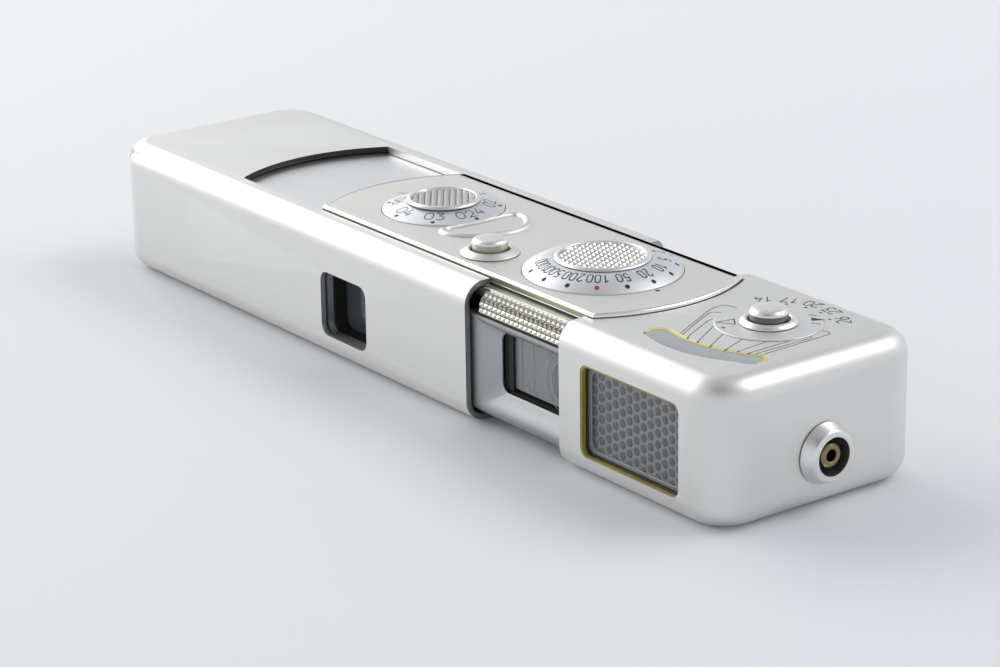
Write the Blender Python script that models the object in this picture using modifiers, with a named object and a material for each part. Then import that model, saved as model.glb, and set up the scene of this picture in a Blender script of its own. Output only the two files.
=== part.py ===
"""Sliding subminiature film camera with a built-in selenium light meter.

Row frame: origin at the middle of the bottom of the bounding box, +X along the length towards the
meter housing, -Y is the front (lens, viewfinder and cell windows), +Z is up (dials).
All named sizes are in millimetres, and MM turns them into metres.
"""

import math

import bmesh
import bpy
import numpy as np
from mathutils import Matrix, Vector

MM = 0.001

# ---------------------------------------------------------------- driving dimensions (mm)
HALF_WIDTH = 14.0
HEIGHT = 16.0
LENGTH_OPEN = 117.43            # sleeve pulled out, flash socket included
SOCKET_PROUD = 1.53             # the flash socket stands out of the right end
TRAVEL = 16.1                   # stroke of the sleeve
SLIDE_GAP = 0.35                # room left between the sleeve and what it closes against
SEAM = 0.15                     # gap between fixed neighbours
RUN = 0.3                       # gap beside a moving piece

LEFT_END = -LENGTH_OPEN / 2
RIGHT_END = LENGTH_OPEN / 2 - SOCKET_PROUD
HOUSING_LEFT = RIGHT_END - 25.6
SLEEVE_RIGHT = HOUSING_LEFT - TRAVEL - SLIDE_GAP

WALL = 0.65                     # sleeve and housing sheet
LONG_EDGE = 2.5                 # radius along the long edges
END_EDGE = 0.72                 # the sleeve's end edges, as a share of LONG_EDGE
LEFT_CORNER = 5.0               # plan corner radii
RIGHT_CORNER = 4.75

CHASSIS_HALF = 13.05
CHASSIS_BOTTOM = 0.95
CHASSIS_TOP = 15.05
CHASSIS_EDGE = 1.55
CHASSIS_WALL = 0.8
CHASSIS_LEFT = LEFT_END + WALL + TRAVEL + RUN
CHASSIS_RIGHT = HOUSING_LEFT - RUN
CEILING = CHASSIS_TOP - CHASSIS_WALL
COVER_TOP = CHASSIS_BOTTOM + 0.7
DOOR_RIGHT = 12.9               # the film door's right edge
SCREW_X, SCREW_Y = 14.5, 10.7   # bottom cover screws

PLATE_LEFT = -17.7              # corners of the dial plate
PLATE_RIGHT = 32.6
PLATE_HALF = 10.25
PLATE_ARC = 3.0                 # how far its ends bow out
PLATE_BOTTOM = CHASSIS_TOP + 0.2
PLATE_TOP = 16.43
CUTOUT_HALF = PLATE_HALF + 0.3
CHASSIS_CORNER = LEFT_CORNER - 0.6

SPEED_X = 21.43                 # shutter speed dial
SPEED_R = 8.8
SPEED_KNOB_R = 5.34
SPEED_KNOB_TOP = 18.13
DISTANCE_X = -7.94              # distance dial
DISTANCE_R = 7.1
DISTANCE_KNOB_R = 4.33
DISTANCE_KNOB_TOP = 17.78
DISC_EDGE = 16.5                # the dials' discs slope up from here to their knobs
DISC_BOTTOM = 15.65
SPEED_CROWN = 17.78             # top of each disc, where it meets its knob
DISTANCE_CROWN = 17.23
SPEED_BULGE = 0.3               # how far a disc's face swells above a straight cone
DISTANCE_BULGE = 0.0
KNOB_GAP = 0.06
DIAL_PLAY = 0.15

FOCUS_CAM_R, FOCUS_RISE = 3.0, 0.2   # radius at rest, and rise in mm a radian

RELEASE_X, RELEASE_Y = 8.93, -5.89
RELEASE_R = 2.03
RELEASE_TOP = 18.2
COLLAR_R = 3.4
COLLAR_TOP = 17.0
COUNTER_LIP = 16.72             # top of the thin lip round the frame counter's pocket

LENS_X, LENS_Z = -8.44, 6.7
LENS_WINDOW_W, LENS_WINDOW_H, LENS_WINDOW_R = 9.07, 7.69, 1.3

FINDER_LEFT, FINDER_RIGHT = 19.1, 30.2
FINDER_LOW, FINDER_HIGH = 4.5, 11.3
BEZEL_LEFT = 16.2
BEZEL_BACK = -11.85
BEZEL_TOP = 12.65

FILTER_LEFT, FILTER_RIGHT = 16.3, 33.6
FILTER_TRAVEL = 9.0

CELL_X, CELL_Z = 43.07, 7.52
CELL_W, CELL_H, CELL_R = 15.83, 10.17, 1.0

METER_X, METER_Y = 45.29, 2.87  # film-speed disc and needle pivot
METER_DISC_R = 5.71
METER_DISC_TOP = 16.1
METER_KNOB_TOP = 17.85
NEEDLE_R = 12.3                 # reach of the needle
WINDOW_OUTER = (44.225, 4.0, 13.88)     # the needle window's two edges: centre and radius
WINDOW_INNER = (43.845, 7.55, 14.08)
WINDOW_LEFT, WINDOW_RIGHT = 40.0, 52.2

SOCKET_Y, SOCKET_Z = 0.0, 6.0
SOCKET_BASE_R, SOCKET_TIP_R, SOCKET_HOLE_R = 3.37, 2.75, 2.09
CONTACT_PROUD = 1.2             # the centre contact stands just inside the collar's mouth

MODULE = 0.5                    # film transport gears
TEETH = 12
PITCH_R = MODULE * TEETH / 2
TAKE_UP_X, FEED_X, SPOOL_Y = LENS_X + 15.05, LENS_X - 15.05, 3.0
RACK_PITCH_Y = 11.6
PINION_Y = RACK_PITCH_Y - PITCH_R
PINION_X = TAKE_UP_X + math.sqrt((2 * PITCH_R) ** 2 - (PINION_Y - SPOOL_Y) ** 2)
GEAR_LOW, GEAR_HIGH = 12.55, 13.2
COUNTER_X, COUNTER_Y, COUNTER_R = 1.6, 7.2, 4.3

# ---------------------------------------------------------------- scene and materials
for old in list(bpy.data.objects):
    bpy.data.objects.remove(old, do_unlink=True)

parts = bpy.data.collections.new("subminiature_camera")
cutters = bpy.data.collections.new("cutters")
bpy.context.scene.collection.children.link(parts)
bpy.context.scene.collection.children.link(cutters)


def material(name, color, roughness, metallic):
    made = bpy.data.materials.new(name)
    made.use_nodes = True
    shader = made.node_tree.nodes["Principled BSDF"]
    shader.inputs["Base Color"].default_value = (*color, 1.0)
    shader.inputs["Roughness"].default_value = roughness
    shader.inputs["Metallic"].default_value = metallic
    return made


SILVER = (0.80, 0.80, 0.79)
WARM = (0.72, 0.71, 0.67)
BRASS = (0.72, 0.56, 0.28)
STEEL = (0.60, 0.60, 0.62)
BLACK = (0.02, 0.02, 0.02)
SMOKE = (0.30, 0.33, 0.37)


# ---------------------------------------------------------------- outlines (mm, flat)
def arc(cx, cy, radius, start, stop, steps):
    """Points on an arc, in degrees, both ends included."""
    angles = np.radians(np.linspace(start, stop, steps + 1))
    return [(cx + radius * math.cos(a), cy + radius * math.sin(a)) for a in angles]


def rounded_rectangle(cx, cy, width, height, radius, steps=4):
    dx, dy = width / 2 - radius, height / 2 - radius
    points = []
    for sx, sy, start in ((1, 1, 0), (-1, 1, 90), (-1, -1, 180), (1, -1, 270)):
        points += arc(cx + sx * dx, cy + sy * dy, radius, start, start + 90, steps)
    return points


def circle(cx, cy, radius, steps=32):
    return arc(cx, cy, radius, 0, 360, steps)[:-1]


def bowed_end(x_corner, half, bow, steps, side):
    """The curved end of the dial plate: side is -1 for the left end and 1 for the right."""
    radius = (half ** 2 + bow ** 2) / (2 * bow)
    centre = x_corner + side * (bow - radius)
    spread = math.degrees(math.asin(half / radius))
    if side > 0:
        return arc(centre, 0, radius, -spread, spread, steps)
    return arc(centre, 0, radius, 180 - spread, 180 + spread, steps)


def plate_outline(grow, steps=14):
    half = PLATE_HALF + grow
    right = bowed_end(PLATE_RIGHT + grow, half, PLATE_ARC, steps, 1)
    left = bowed_end(PLATE_LEFT - grow, half, PLATE_ARC, steps, -1)
    return right + left


def gear_outline(cx, cy, teeth, module, phase):
    """Straight-sided teeth with a little backlash. phase is one tooth's angle in degrees."""
    pitch, outer, root = module * teeth / 2, module * (teeth / 2 + 0.75), module * (teeth / 2 - 1)
    step = 360 / teeth
    points = []
    for tooth in range(teeth):
        middle = phase + tooth * step
        for radius, share in ((root, -0.30), (pitch, -0.215), (outer, -0.10),
                              (outer, 0.10), (pitch, 0.215), (root, 0.30)):
            angle = math.radians(middle + share * step)
            points.append((cx + radius * math.cos(angle), cy + radius * math.sin(angle)))
    return points


# ---------------------------------------------------------------- solids
def add(name, mesh, paint, collection=parts, location=(0, 0, 0), rotation=(0, 0, 0)):
    made = bpy.data.objects.new(name, mesh)
    made.location = [value * MM for value in location]
    made.rotation_euler = rotation
    collection.objects.link(made)
    if collection is cutters:
        made.hide_render = True
        made.display_type = "WIRE"
    elif paint:
        mesh.materials.append(paint)
    return made


def flat_shape(name, outline, low, high, paint, plane="XY", collection=parts):
    """A flat outline with a thickness. In plane XZ it is thick along Y, in YZ along X."""
    curve = bpy.data.curves.new(name, "CURVE")
    curve.dimensions = "2D"
    curve.fill_mode = "BOTH"
    curve.extrude = (high - low) / 2 * MM
    spline = curve.splines.new("POLY")
    spline.points.add(len(outline) - 1)
    for point, (x, y) in zip(spline.points, outline):
        point.co = (x * MM, y * MM, 0, 1)
    spline.use_cyclic_u = True
    drawn = bpy.data.objects.new(name + "_outline", curve)
    parts.objects.link(drawn)
    graph = bpy.context.evaluated_depsgraph_get()
    mesh = bpy.data.meshes.new_from_object(drawn.evaluated_get(graph))
    bpy.data.objects.remove(drawn, do_unlink=True)
    bm = bmesh.new()
    bm.from_mesh(mesh)
    bmesh.ops.remove_doubles(bm, verts=bm.verts, dist=1e-7)
    middle = (low + high) / 2 * MM
    if plane == "XY":
        turn = Matrix.Translation((0, 0, middle))
    elif plane == "XZ":
        turn = Matrix.Translation((0, middle, 0)) @ Matrix.Rotation(math.pi / 2, 4, "X")
    else:
        turn = Matrix.Translation((middle, 0, 0)) @ Matrix(
            ((0, 0, 1, 0), (1, 0, 0, 0), (0, 1, 0, 0), (0, 0, 0, 1)))
    bmesh.ops.transform(bm, matrix=turn, verts=bm.verts)
    bmesh.ops.recalc_face_normals(bm, faces=bm.faces)
    bm.to_mesh(mesh)
    bm.free()
    return add(name, mesh, paint, collection)


def box(name, low, high, paint, collection=parts):
    bm = bmesh.new()
    bmesh.ops.create_cube(bm, size=1.0)
    size = [(b - a) * MM for a, b in zip(low, high)]
    centre = [(a + b) / 2 * MM for a, b in zip(low, high)]
    bmesh.ops.scale(bm, vec=size, verts=bm.verts)
    bmesh.ops.translate(bm, vec=centre, verts=bm.verts)
    mesh = bpy.data.meshes.new(name)
    bm.to_mesh(mesh)
    bm.free()
    return add(name, mesh, paint, collection)


def turned(name, profile, paint, location, steps=32, closed=False, facing="Z", collection=parts):
    """A turned piece. profile is (radius, height) down the outer side; closed makes a ring.

    facing is where its local +Z points: Z is up, -Y the front, X the right end.
    """
    bm = bmesh.new()
    verts = [bm.verts.new((radius * MM, 0, height * MM)) for radius, height in profile]
    for first, second in zip(verts, verts[1:]):
        bm.edges.new((first, second))
    if closed:
        bm.edges.new((verts[-1], verts[0]))
    mesh = bpy.data.meshes.new(name)
    bm.to_mesh(mesh)
    bm.free()
    turns = {"Z": (0, 0, 0), "-Y": (math.pi / 2, 0, 0), "X": (0, math.pi / 2, 0)}
    made = add(name, mesh, paint, collection, location, turns[facing])
    screw = made.modifiers.new("turn", "SCREW")
    screw.steps = steps
    screw.render_steps = steps
    screw.use_merge_vertices = True
    screw.merge_threshold = 0.000001
    screw.use_normal_calculate = False
    screw.use_smooth_shade = True
    return made


def disc(name, radius, low, high, paint, x, y, steps=32, collection=parts):
    return turned(name, [(0, high), (radius, high), (radius, low), (0, low)],
                  paint, (x, y, 0), steps, collection=collection)


def combine(made, tool, operation="DIFFERENCE"):
    """Cuts, joins or intersects with a tool, which goes to the cutters."""
    if tool.name not in cutters.objects:
        parts.objects.unlink(tool)
        cutters.objects.link(tool)
        tool.hide_render = True
        tool.display_type = "WIRE"
    change = made.modifiers.new(operation.lower() + "_" + tool.name, "BOOLEAN")
    change.operation = operation
    change.object = tool
    change.solver = "EXACT"
    return made


def cut_box(made, label, low, high):
    return combine(made, box(made.name + "_" + label, low, high, None, cutters))


def cut_shape(made, label, outline, low, high, plane="XY"):
    tool = flat_shape(made.name + "_" + label, outline, low, high, None, plane, cutters)
    return combine(made, tool)


def cut_round(made, label, radius, low, high, x, y, steps=32):
    return combine(made, disc(made.name + "_" + label, radius, low, high, None, x, y, steps, cutters))


def rounded_bar(name, x_low, x_high, half, z_low, z_high, edge, paint, corner_left=0, corner_right=0,
                end_share=1.0, collection=parts, corner_steps=6, edge_steps=5):
    """A bar along X with rounded long edges. An end with a plan corner radius is rounded all round,
    and an end without one is cut square."""
    bm = bmesh.new()
    bmesh.ops.create_cube(bm, size=1.0)
    size = ((x_high - x_low) * MM, 2 * half * MM, (z_high - z_low) * MM)
    centre = ((x_high + x_low) / 2 * MM, 0, (z_high + z_low) / 2 * MM)
    bmesh.ops.scale(bm, vec=size, verts=bm.verts)
    bmesh.ops.translate(bm, vec=centre, verts=bm.verts)
    for x_end, corner in ((x_low, corner_left), (x_high, corner_right)):
        if not corner:
            continue
        upright = [e for e in bm.edges
                   if all(abs(v.co.x - x_end * MM) < 1e-7 for v in e.verts)
                   and abs(e.verts[0].co.z - e.verts[1].co.z) > 1e-6]
        bmesh.ops.bevel(bm, geom=upright, offset=corner * MM, segments=corner_steps, profile=0.5,
                        affect="EDGES")
    weight = bm.edges.layers.float.new("bevel_weight_edge")
    square_ends = [x for x, corner in ((x_low, corner_left), (x_high, corner_right)) if not corner]
    for e in bm.edges:
        level = [v.co.z for v in e.verts]
        if abs(level[0] - level[1]) > 1e-7:
            continue
        on_square_end = any(all(abs(v.co.x - x * MM) < 1e-7 for v in e.verts) for x in square_ends)
        if on_square_end:
            continue
        across = abs((e.verts[0].co - e.verts[1].co).normalized().y)
        e[weight] = 1.0 + (end_share - 1.0) * across ** 2
    mesh = bpy.data.meshes.new(name)
    bm.to_mesh(mesh)
    bm.free()
    made = add(name, mesh, paint, collection)
    bevel = made.modifiers.new("edges", "BEVEL")
    bevel.limit_method = "WEIGHT"
    bevel.width = edge * MM
    bevel.segments = edge_steps
    bevel.use_clamp_overlap = False
    return made


def round_edges(made, width, segments=2, angle=40):
    bevel = made.modifiers.new("edges", "BEVEL")
    bevel.width = width * MM
    bevel.segments = segments
    bevel.limit_method = "ANGLE"
    bevel.angle_limit = math.radians(angle)
    return made


# ---------------------------------------------------------------- sleeve and its rack
def make_sleeve():
    paint = material("sleeve", SILVER, 0.42, 0.9)
    made = rounded_bar("sleeve", LEFT_END, SLEEVE_RIGHT, HALF_WIDTH, 0, HEIGHT, LONG_EDGE, paint,
                       corner_left=LEFT_CORNER, end_share=END_EDGE)
    hollow = rounded_bar("sleeve_hollow", LEFT_END + WALL, SLEEVE_RIGHT + 5, HALF_WIDTH - WALL, WALL,
                         HEIGHT - WALL, LONG_EDGE - WALL, None, corner_left=LEFT_CORNER - WALL,
                         end_share=END_EDGE, collection=cutters)
    combine(made, hollow)
    left = PLATE_LEFT - TRAVEL - SLIDE_GAP
    opening = [(SLEEVE_RIGHT + 3, -CUTOUT_HALF), (SLEEVE_RIGHT + 3, CUTOUT_HALF)]
    opening += bowed_end(left, CUTOUT_HALF, PLATE_ARC, 14, -1)
    cut_shape(made, "dial_opening", opening, HEIGHT - WALL - 1, HEIGHT + 1)
    window = rounded_rectangle(LENS_X, LENS_Z, LENS_WINDOW_W, LENS_WINDOW_H, LENS_WINDOW_R)
    cut_shape(made, "lens_opening", window, -HALF_WIDTH - 1, -HALF_WIDTH + WALL + 0.5, "XZ")


def make_rack():
    """The rack on the sleeve's back wall that winds the film."""
    paint = material("drive_rack", STEEL, 0.35, 1.0)
    pitch = math.pi * MODULE
    first = PINION_X - TRAVEL - 2 * pitch
    last = PINION_X + 2 * pitch
    low = RACK_PITCH_Y + MODULE
    outline = [(last, HALF_WIDTH - WALL - SEAM), (first, HALF_WIDTH - WALL - SEAM), (first, low)]
    count = int((last - first) / pitch)
    shift = (PINION_X - first) / pitch % 1 * pitch
    for tooth in range(count):
        middle = first + shift + (tooth + 0.5) * pitch
        if middle > last - 0.5 * pitch:
            break
        for share, y in ((-0.30, low), (-0.215, RACK_PITCH_Y), (-0.10, RACK_PITCH_Y - 0.75 * MODULE),
                         (0.10, RACK_PITCH_Y - 0.75 * MODULE), (0.215, RACK_PITCH_Y), (0.30, low)):
            outline.append((middle + share * pitch, y))
    outline.append((last, low))
    flat_shape("drive_rack", outline, GEAR_LOW, GEAR_HIGH, paint)


# ---------------------------------------------------------------- chassis
def chassis_block(name, x_low, x_high, paint, corner=0):
    return rounded_bar(name, x_low, x_high, CHASSIS_HALF, CHASSIS_BOTTOM, CHASSIS_TOP, CHASSIS_EDGE,
                       paint, corner_left=corner, end_share=END_EDGE, edge_steps=4)


def make_chassis():
    paint = material("chassis_frame", SILVER, 0.38, 0.9)
    made = chassis_block("chassis_frame", CHASSIS_LEFT, CHASSIS_RIGHT, paint, CHASSIS_CORNER)
    inside = CHASSIS_HALF - CHASSIS_WALL
    radius = CHASSIS_CORNER - CHASSIS_WALL
    corner_x, corner_y = CHASSIS_LEFT + CHASSIS_CORNER, inside - radius
    pocket = [(CHASSIS_RIGHT - CHASSIS_WALL, -inside), (CHASSIS_RIGHT - CHASSIS_WALL, inside)]
    pocket += arc(corner_x, corner_y, radius, 90, 180, 6) + arc(corner_x, -corner_y, radius, 180, 270, 6)
    cut_shape(made, "pocket", pocket, 0, CEILING)
    for label, y_low, y_high in (("front_lug", -inside - 0.2, 1.3 - SCREW_Y),
                                 ("back_lug", SCREW_Y - 1.3, inside + 0.2)):
        lug = box(label, (SCREW_X - 1.2, y_low, 1), (SCREW_X + 1.2, y_high, 5), None, cutters)
        combine(made, lug, "UNION")
    for label, y in (("front_thread", -SCREW_Y), ("back_thread", SCREW_Y)):
        cut_round(made, label, 0.65, 0, 4.4, SCREW_X, y, 20)
    cut_box(made, "underside", (CHASSIS_LEFT - 1, -HALF_WIDTH, 0), (HOUSING_LEFT, HALF_WIDTH,
                                                                    COVER_TOP + RUN))
    # the front wall stops at the viewfinder bezel, and a groove takes the filter bar
    cut_box(made, "bezel_seat", (BEZEL_LEFT - SEAM, -HALF_WIDTH, 0),
            (HOUSING_LEFT, BEZEL_BACK + 0.1, HEIGHT))
    cut_box(made, "bar_groove", (FILTER_LEFT - FILTER_TRAVEL - RUN, -HALF_WIDTH, BEZEL_TOP),
            (BEZEL_LEFT + 1, BEZEL_BACK + 0.1, HEIGHT))
    window = rounded_rectangle(LENS_X, LENS_Z, LENS_WINDOW_W, LENS_WINDOW_H, LENS_WINDOW_R)
    cut_shape(made, "lens_opening", window, -HALF_WIDTH, -inside + 0.5, "XZ")
    eyepiece = rounded_rectangle(25.2, 7.9, 8.6, 5.8, 1.2)
    cut_shape(made, "eyepiece_opening", eyepiece, inside - 0.5, HALF_WIDTH, "XZ")
    cut_box(made, "rack_slot", (PINION_X - TRAVEL - 5, inside - 0.5, GEAR_LOW - RUN),
            (PINION_X + TRAVEL + 5, HALF_WIDTH, GEAR_HIGH + RUN))
    for label, radius, x, y in (("speed_hole", 1.62, SPEED_X, 0), ("distance_hole", 1.62, DISTANCE_X, 0),
                                ("release_hole", RELEASE_R + 0.3, RELEASE_X, RELEASE_Y),
                                ("counter_hole", 0.8, COUNTER_X, COUNTER_Y)):
        cut_round(made, label, radius, CEILING - 1, HEIGHT, x, y, 24)
    cut_shape(made, "counter_window", circle(1.9, 3.85, 1.1, 16), CEILING - 1, HEIGHT)


def make_covers():
    """The two plates that close the chassis from below: the film door and the bottom cover."""
    for name, x_low, x_high, corner in (("film_door", CHASSIS_LEFT, DOOR_RIGHT, CHASSIS_CORNER),
                                        ("bottom_cover", DOOR_RIGHT + SEAM, CHASSIS_RIGHT, 0)):
        paint = material(name, SILVER, 0.4, 0.9)
        made = chassis_block(name, x_low, x_high, paint, corner)
        keep = box(name + "_keep", (x_low - 1, -HALF_WIDTH, 0), (x_high + 1, HALF_WIDTH, COVER_TOP), None,
                   cutters)
        combine(made, keep, "INTERSECT")
    cut_box(made, "bezel_room", (BEZEL_LEFT - SEAM, -HALF_WIDTH, 0),
            (HOUSING_LEFT, BEZEL_BACK + RUN, HEIGHT))
    for side, y in (("front", -SCREW_Y), ("back", SCREW_Y)):
        cut_round(made, side + "_screw_hole", 1.25, 0, COVER_TOP + 1, SCREW_X, y, 20)


def make_screws():
    """The two countersunk screws that hold the bottom cover."""
    for side, y in (("front", -SCREW_Y), ("back", SCREW_Y)):
        paint = material("cover_screw_" + side, STEEL, 0.3, 1.0)
        made = turned("cover_screw_" + side, [(0, 4.2), (0.55, 4.2), (0.55, 1.9), (1.1, 1.45), (1.1, 1.0),
                                              (0, 1.0)], paint, (SCREW_X, y, 0), 20)
        cut_box(made, "slot", (SCREW_X - 2, y - 0.15, 0), (SCREW_X + 2, y + 0.15, 1.25))


# ---------------------------------------------------------------- dial plate and dials
def make_plate():
    paint = material("dial_plate", WARM, 0.5, 0.8)
    made = flat_shape("dial_plate", plate_outline(0), PLATE_BOTTOM, PLATE_TOP, paint)
    round_edges(made, 0.22, 2)
    for label, radius, x, y in (("speed_seat", SPEED_R + DIAL_PLAY, SPEED_X, 0),
                                ("distance_seat", DISTANCE_R + DIAL_PLAY, DISTANCE_X, 0),
                                ("release_seat", COLLAR_R - 0.35, RELEASE_X, RELEASE_Y)):
        cut_round(made, label, radius, PLATE_BOTTOM - 1, PLATE_TOP + 1, x, y, 40)
    cut_shape(made, "counter_window", circle(1.9, 3.85, 1.1, 16), PLATE_BOTTOM - 1, PLATE_TOP + 1)


def make_dial(label, x, radius, knob_radius, knob_top, crown, bulge):
    """A dial: an engraved, slightly domed disc, and a knurled knob with a shaft into the chassis."""
    paint = material(label + "_disc", (0.82, 0.82, 0.82), 0.35, 0.9)
    knob_paint = material(label + "_knob", (0.85, 0.85, 0.84), 0.18, 1.0)
    bore, shaft, shaft_low = 1.75, 1.5, 13.75
    inner, outer = knob_radius - 0.1, radius - 0.05
    face = []
    for share in (0.3, 0.55, 0.8):
        height = crown + (DISC_EDGE + 0.02 - crown) * share + bulge * math.sin(math.pi * share)
        face.append((inner + (outer - inner) * share, height))
    turned(label + "_disc", [(bore, crown), (inner, crown)] + face
           + [(outer, DISC_EDGE + 0.02), (radius, DISC_EDGE - 0.05), (radius, DISC_BOTTOM),
              (bore, DISC_BOTTOM)], paint, (x, 0, 0), 40, closed=True)
    floor = crown + KNOB_GAP
    rim = knob_radius - 0.62
    profile = [(0, knob_top - 0.22), (rim, knob_top - 0.22), (rim + 0.12, knob_top - 0.08),
               (rim + 0.3, knob_top), (knob_radius - 0.1, knob_top - 0.1),
               (knob_radius, knob_top - 0.24), (knob_radius - 0.15, floor), (shaft, floor),
               (shaft, shaft_low), (0, shaft_low)]
    turned(label + "_knob", profile, knob_paint, (x, 0, 0), 32)


def make_speed_cam():
    """The cam under the speed dial that sets the shutter time: one notch for each time."""
    paint = material("shutter_speed_cam", BRASS, 0.35, 1.0)
    points = []
    for index in range(33):
        angle = math.radians(index * 360 / 33)
        radius = 3.5 if index % 3 else 3.1
        points.append((SPEED_X + radius * math.cos(angle), radius * math.sin(angle)))
    flat_shape("shutter_speed_cam", points, 13.0, 13.6, paint)


def make_focus_cam():
    """A spiral cam under the distance dial: it pushes the lens FOCUS_RISE mm for each radian."""
    paint = material("focus_cam", BRASS, 0.35, 1.0)
    points = []
    for degrees in np.linspace(-115, 240, 30):
        radius = FOCUS_CAM_R + FOCUS_RISE * math.radians(degrees)
        angle = math.radians(degrees - 90)
        points.append((DISTANCE_X + radius * math.cos(angle), radius * math.sin(angle)))
    flat_shape("focus_cam", points, 12.75, 13.6, paint)


# ---------------------------------------------------------------- frame counter and release
def make_counter():
    paint = material("counter_bezel", WARM, 0.4, 0.9)
    outline = [(-1.4, -4.7), (-1.0, -5.7), (0.35, -6.15), (1.7, -5.6), (3.1, -4.3), (4.2, -2.2),
               (4.9, 0.3), (4.4, 2.8), (3.0, 4.6), (1.2, 5.5), (-0.5, 5.6), (-1.15, 4.7), (-0.6, 2.4),
               (-0.5, -0.7), (-0.75, -3.2)]
    made = flat_shape("counter_bezel", outline, PLATE_TOP + 0.06, COUNTER_LIP, paint)
    round_edges(made, 0.15, 2)
    slot = [(-0.75, -4.35), (-0.5, -4.85), (0.35, -5.1), (1.3, -4.7), (2.4, -3.65), (3.3, -1.75),
            (3.85, 0.4), (3.45, 2.3), (2.6, 3.5), (1.2, 4.35), (0.0, 4.5), (-0.45, 3.9), (-0.3, 2.2),
            (-0.3, -0.7), (-0.55, -2.9)]
    cut_shape(made, "slot", slot, PLATE_TOP - 1, 18)
    disc_paint = material("counter_disc", (0.1, 0.1, 0.1), 0.5, 0.2)
    turned("counter_disc", [(0, 14.9), (0.7, 14.9), (0.7, 13.9), (COUNTER_R, 13.9),
                            (COUNTER_R, 13.5), (0, 13.5)], disc_paint, (COUNTER_X, COUNTER_Y, 0), 32)


def make_release():
    collar = material("release_collar", WARM, 0.45, 0.9)
    seat = COLLAR_R - 0.35 - 0.12
    bore = RELEASE_R + 0.17
    turned("release_collar", [(bore, COLLAR_TOP - 0.15), (bore + 0.25, COLLAR_TOP),
                              (COLLAR_R - 0.7, COLLAR_TOP - 0.02), (COLLAR_R - 0.15, PLATE_TOP + 0.2),
                              (COLLAR_R, PLATE_TOP + 0.06), (seat, PLATE_TOP + 0.06), (seat, 15.5),
                              (bore, 15.5)], collar, (RELEASE_X, RELEASE_Y, 0), 24, closed=True)
    paint = material("release_button", (0.84, 0.84, 0.84), 0.3, 0.9)
    low = 15.0
    turned("release_button", [(0, RELEASE_TOP), (0.8, RELEASE_TOP - 0.03), (1.4, RELEASE_TOP - 0.1),
                              (1.85, RELEASE_TOP - 0.28), (RELEASE_R, RELEASE_TOP - 0.55),
                              (RELEASE_R, low), (0.8, low), (0.8, 12.05), (0, 12.05)],
           paint, (RELEASE_X, RELEASE_Y, 0), 24)
    bracket = material("release_bracket", STEEL, 0.4, 1.0)
    made = box("release_bracket", (RELEASE_X - 2.4, -11.6, 12.6),
               (RELEASE_X + 2.2, RELEASE_Y + 2.0, 13.0), bracket)
    cut_round(made, "guide", 0.9, 12, 14, RELEASE_X, RELEASE_Y, 16)
    cut_box(made, "arm_room", (0, -12, 12), (20, -8.2, 14))
    make_release_spring()
    lever = material("release_lever", STEEL, 0.4, 1.0)
    pivot_x, pivot_z = 3.6, 11.5
    outline = [(pivot_x - 1.0, pivot_z - 0.5), (pivot_x + 1.0, pivot_z - 0.5),
               (RELEASE_X + 0.8, 11.3), (RELEASE_X + 0.8, 11.88), (pivot_x + 1.0, pivot_z + 0.4),
               (pivot_x - 1.0, pivot_z + 0.4)]
    flat_shape("release_lever", outline, RELEASE_Y - 0.4, RELEASE_Y + 0.4, lever, "XZ")


def make_release_spring():
    """The coil under the release button, wound round its stem."""
    paint = material("release_spring", STEEL, 0.3, 1.0)
    turns, per_turn, radius = 3.5, 10, 1.35
    low, high, wire = 13.3, 14.7, 0.14
    curve = bpy.data.curves.new("release_spring", "CURVE")
    curve.dimensions = "3D"
    curve.bevel_depth = wire * MM
    curve.bevel_resolution = 1
    curve.use_fill_caps = True
    spline = curve.splines.new("POLY")
    count = int(turns * per_turn) + 1
    spline.points.add(count - 1)
    for index, point in enumerate(spline.points):
        angle = 2 * math.pi * index / per_turn
        height = low + (high - low) * index / (count - 1)
        point.co = (radius * math.cos(angle) * MM, radius * math.sin(angle) * MM, height * MM, 1)
    made = bpy.data.objects.new("release_spring", curve)
    made.location = (RELEASE_X * MM, RELEASE_Y * MM, 0)
    curve.materials.append(paint)
    parts.objects.link(made)


# ---------------------------------------------------------------- filter slide and viewfinder
def make_filter():
    paint = material("filter_slide", (0.66, 0.65, 0.6), 0.35, 1.0)
    back = BEZEL_BACK - 0.1
    low, high = BEZEL_TOP + 0.15, CHASSIS_TOP + 0.1
    # the bar's front follows the chassis's rounded top edge, in Y and Z
    section = [(back, high), (back, low), (-CHASSIS_HALF, low)]
    section += [(-y, z) for y, z in arc(CHASSIS_HALF - CHASSIS_EDGE, high - CHASSIS_EDGE, CHASSIS_EDGE,
                                        0, 70, 5)]
    made = flat_shape("filter_slide", section, FILTER_LEFT, FILTER_RIGHT, paint, "YZ")
    arm_y_low, arm_y_high = -9.4, -9.0
    web = box("filter_web", (FILTER_LEFT + 0.6, back - 0.3, 13.3), (FILTER_LEFT + 2.2, arm_y_high,
                                                                   13.8), None, cutters)
    combine(made, web, "UNION")
    arm = box("filter_arm", (-2.9, arm_y_low, 11.3), (FILTER_LEFT + 2.2, arm_y_high, 13.5), None,
              cutters)
    combine(made, arm, "UNION")
    x = LENS_X + FILTER_TRAVEL
    frame = flat_shape("filter_frame", rounded_rectangle(x, 7.0, 8.8, 8.8, 1.0), arm_y_low,
                       arm_y_high, None, "XZ", cutters)
    combine(made, frame, "UNION")
    cut_shape(made, "filter_hole", circle(x, LENS_Z, 3.4, 24), arm_y_low - 1, arm_y_high + 1, "XZ")
    glass = material("filter_glass", (0.35, 0.5, 0.2), 0.05, 0.0)
    flat_shape("filter_glass", circle(x, LENS_Z, 3.3, 24), arm_y_low + 0.05, arm_y_high - 0.05, glass,
               "XZ")


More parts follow.
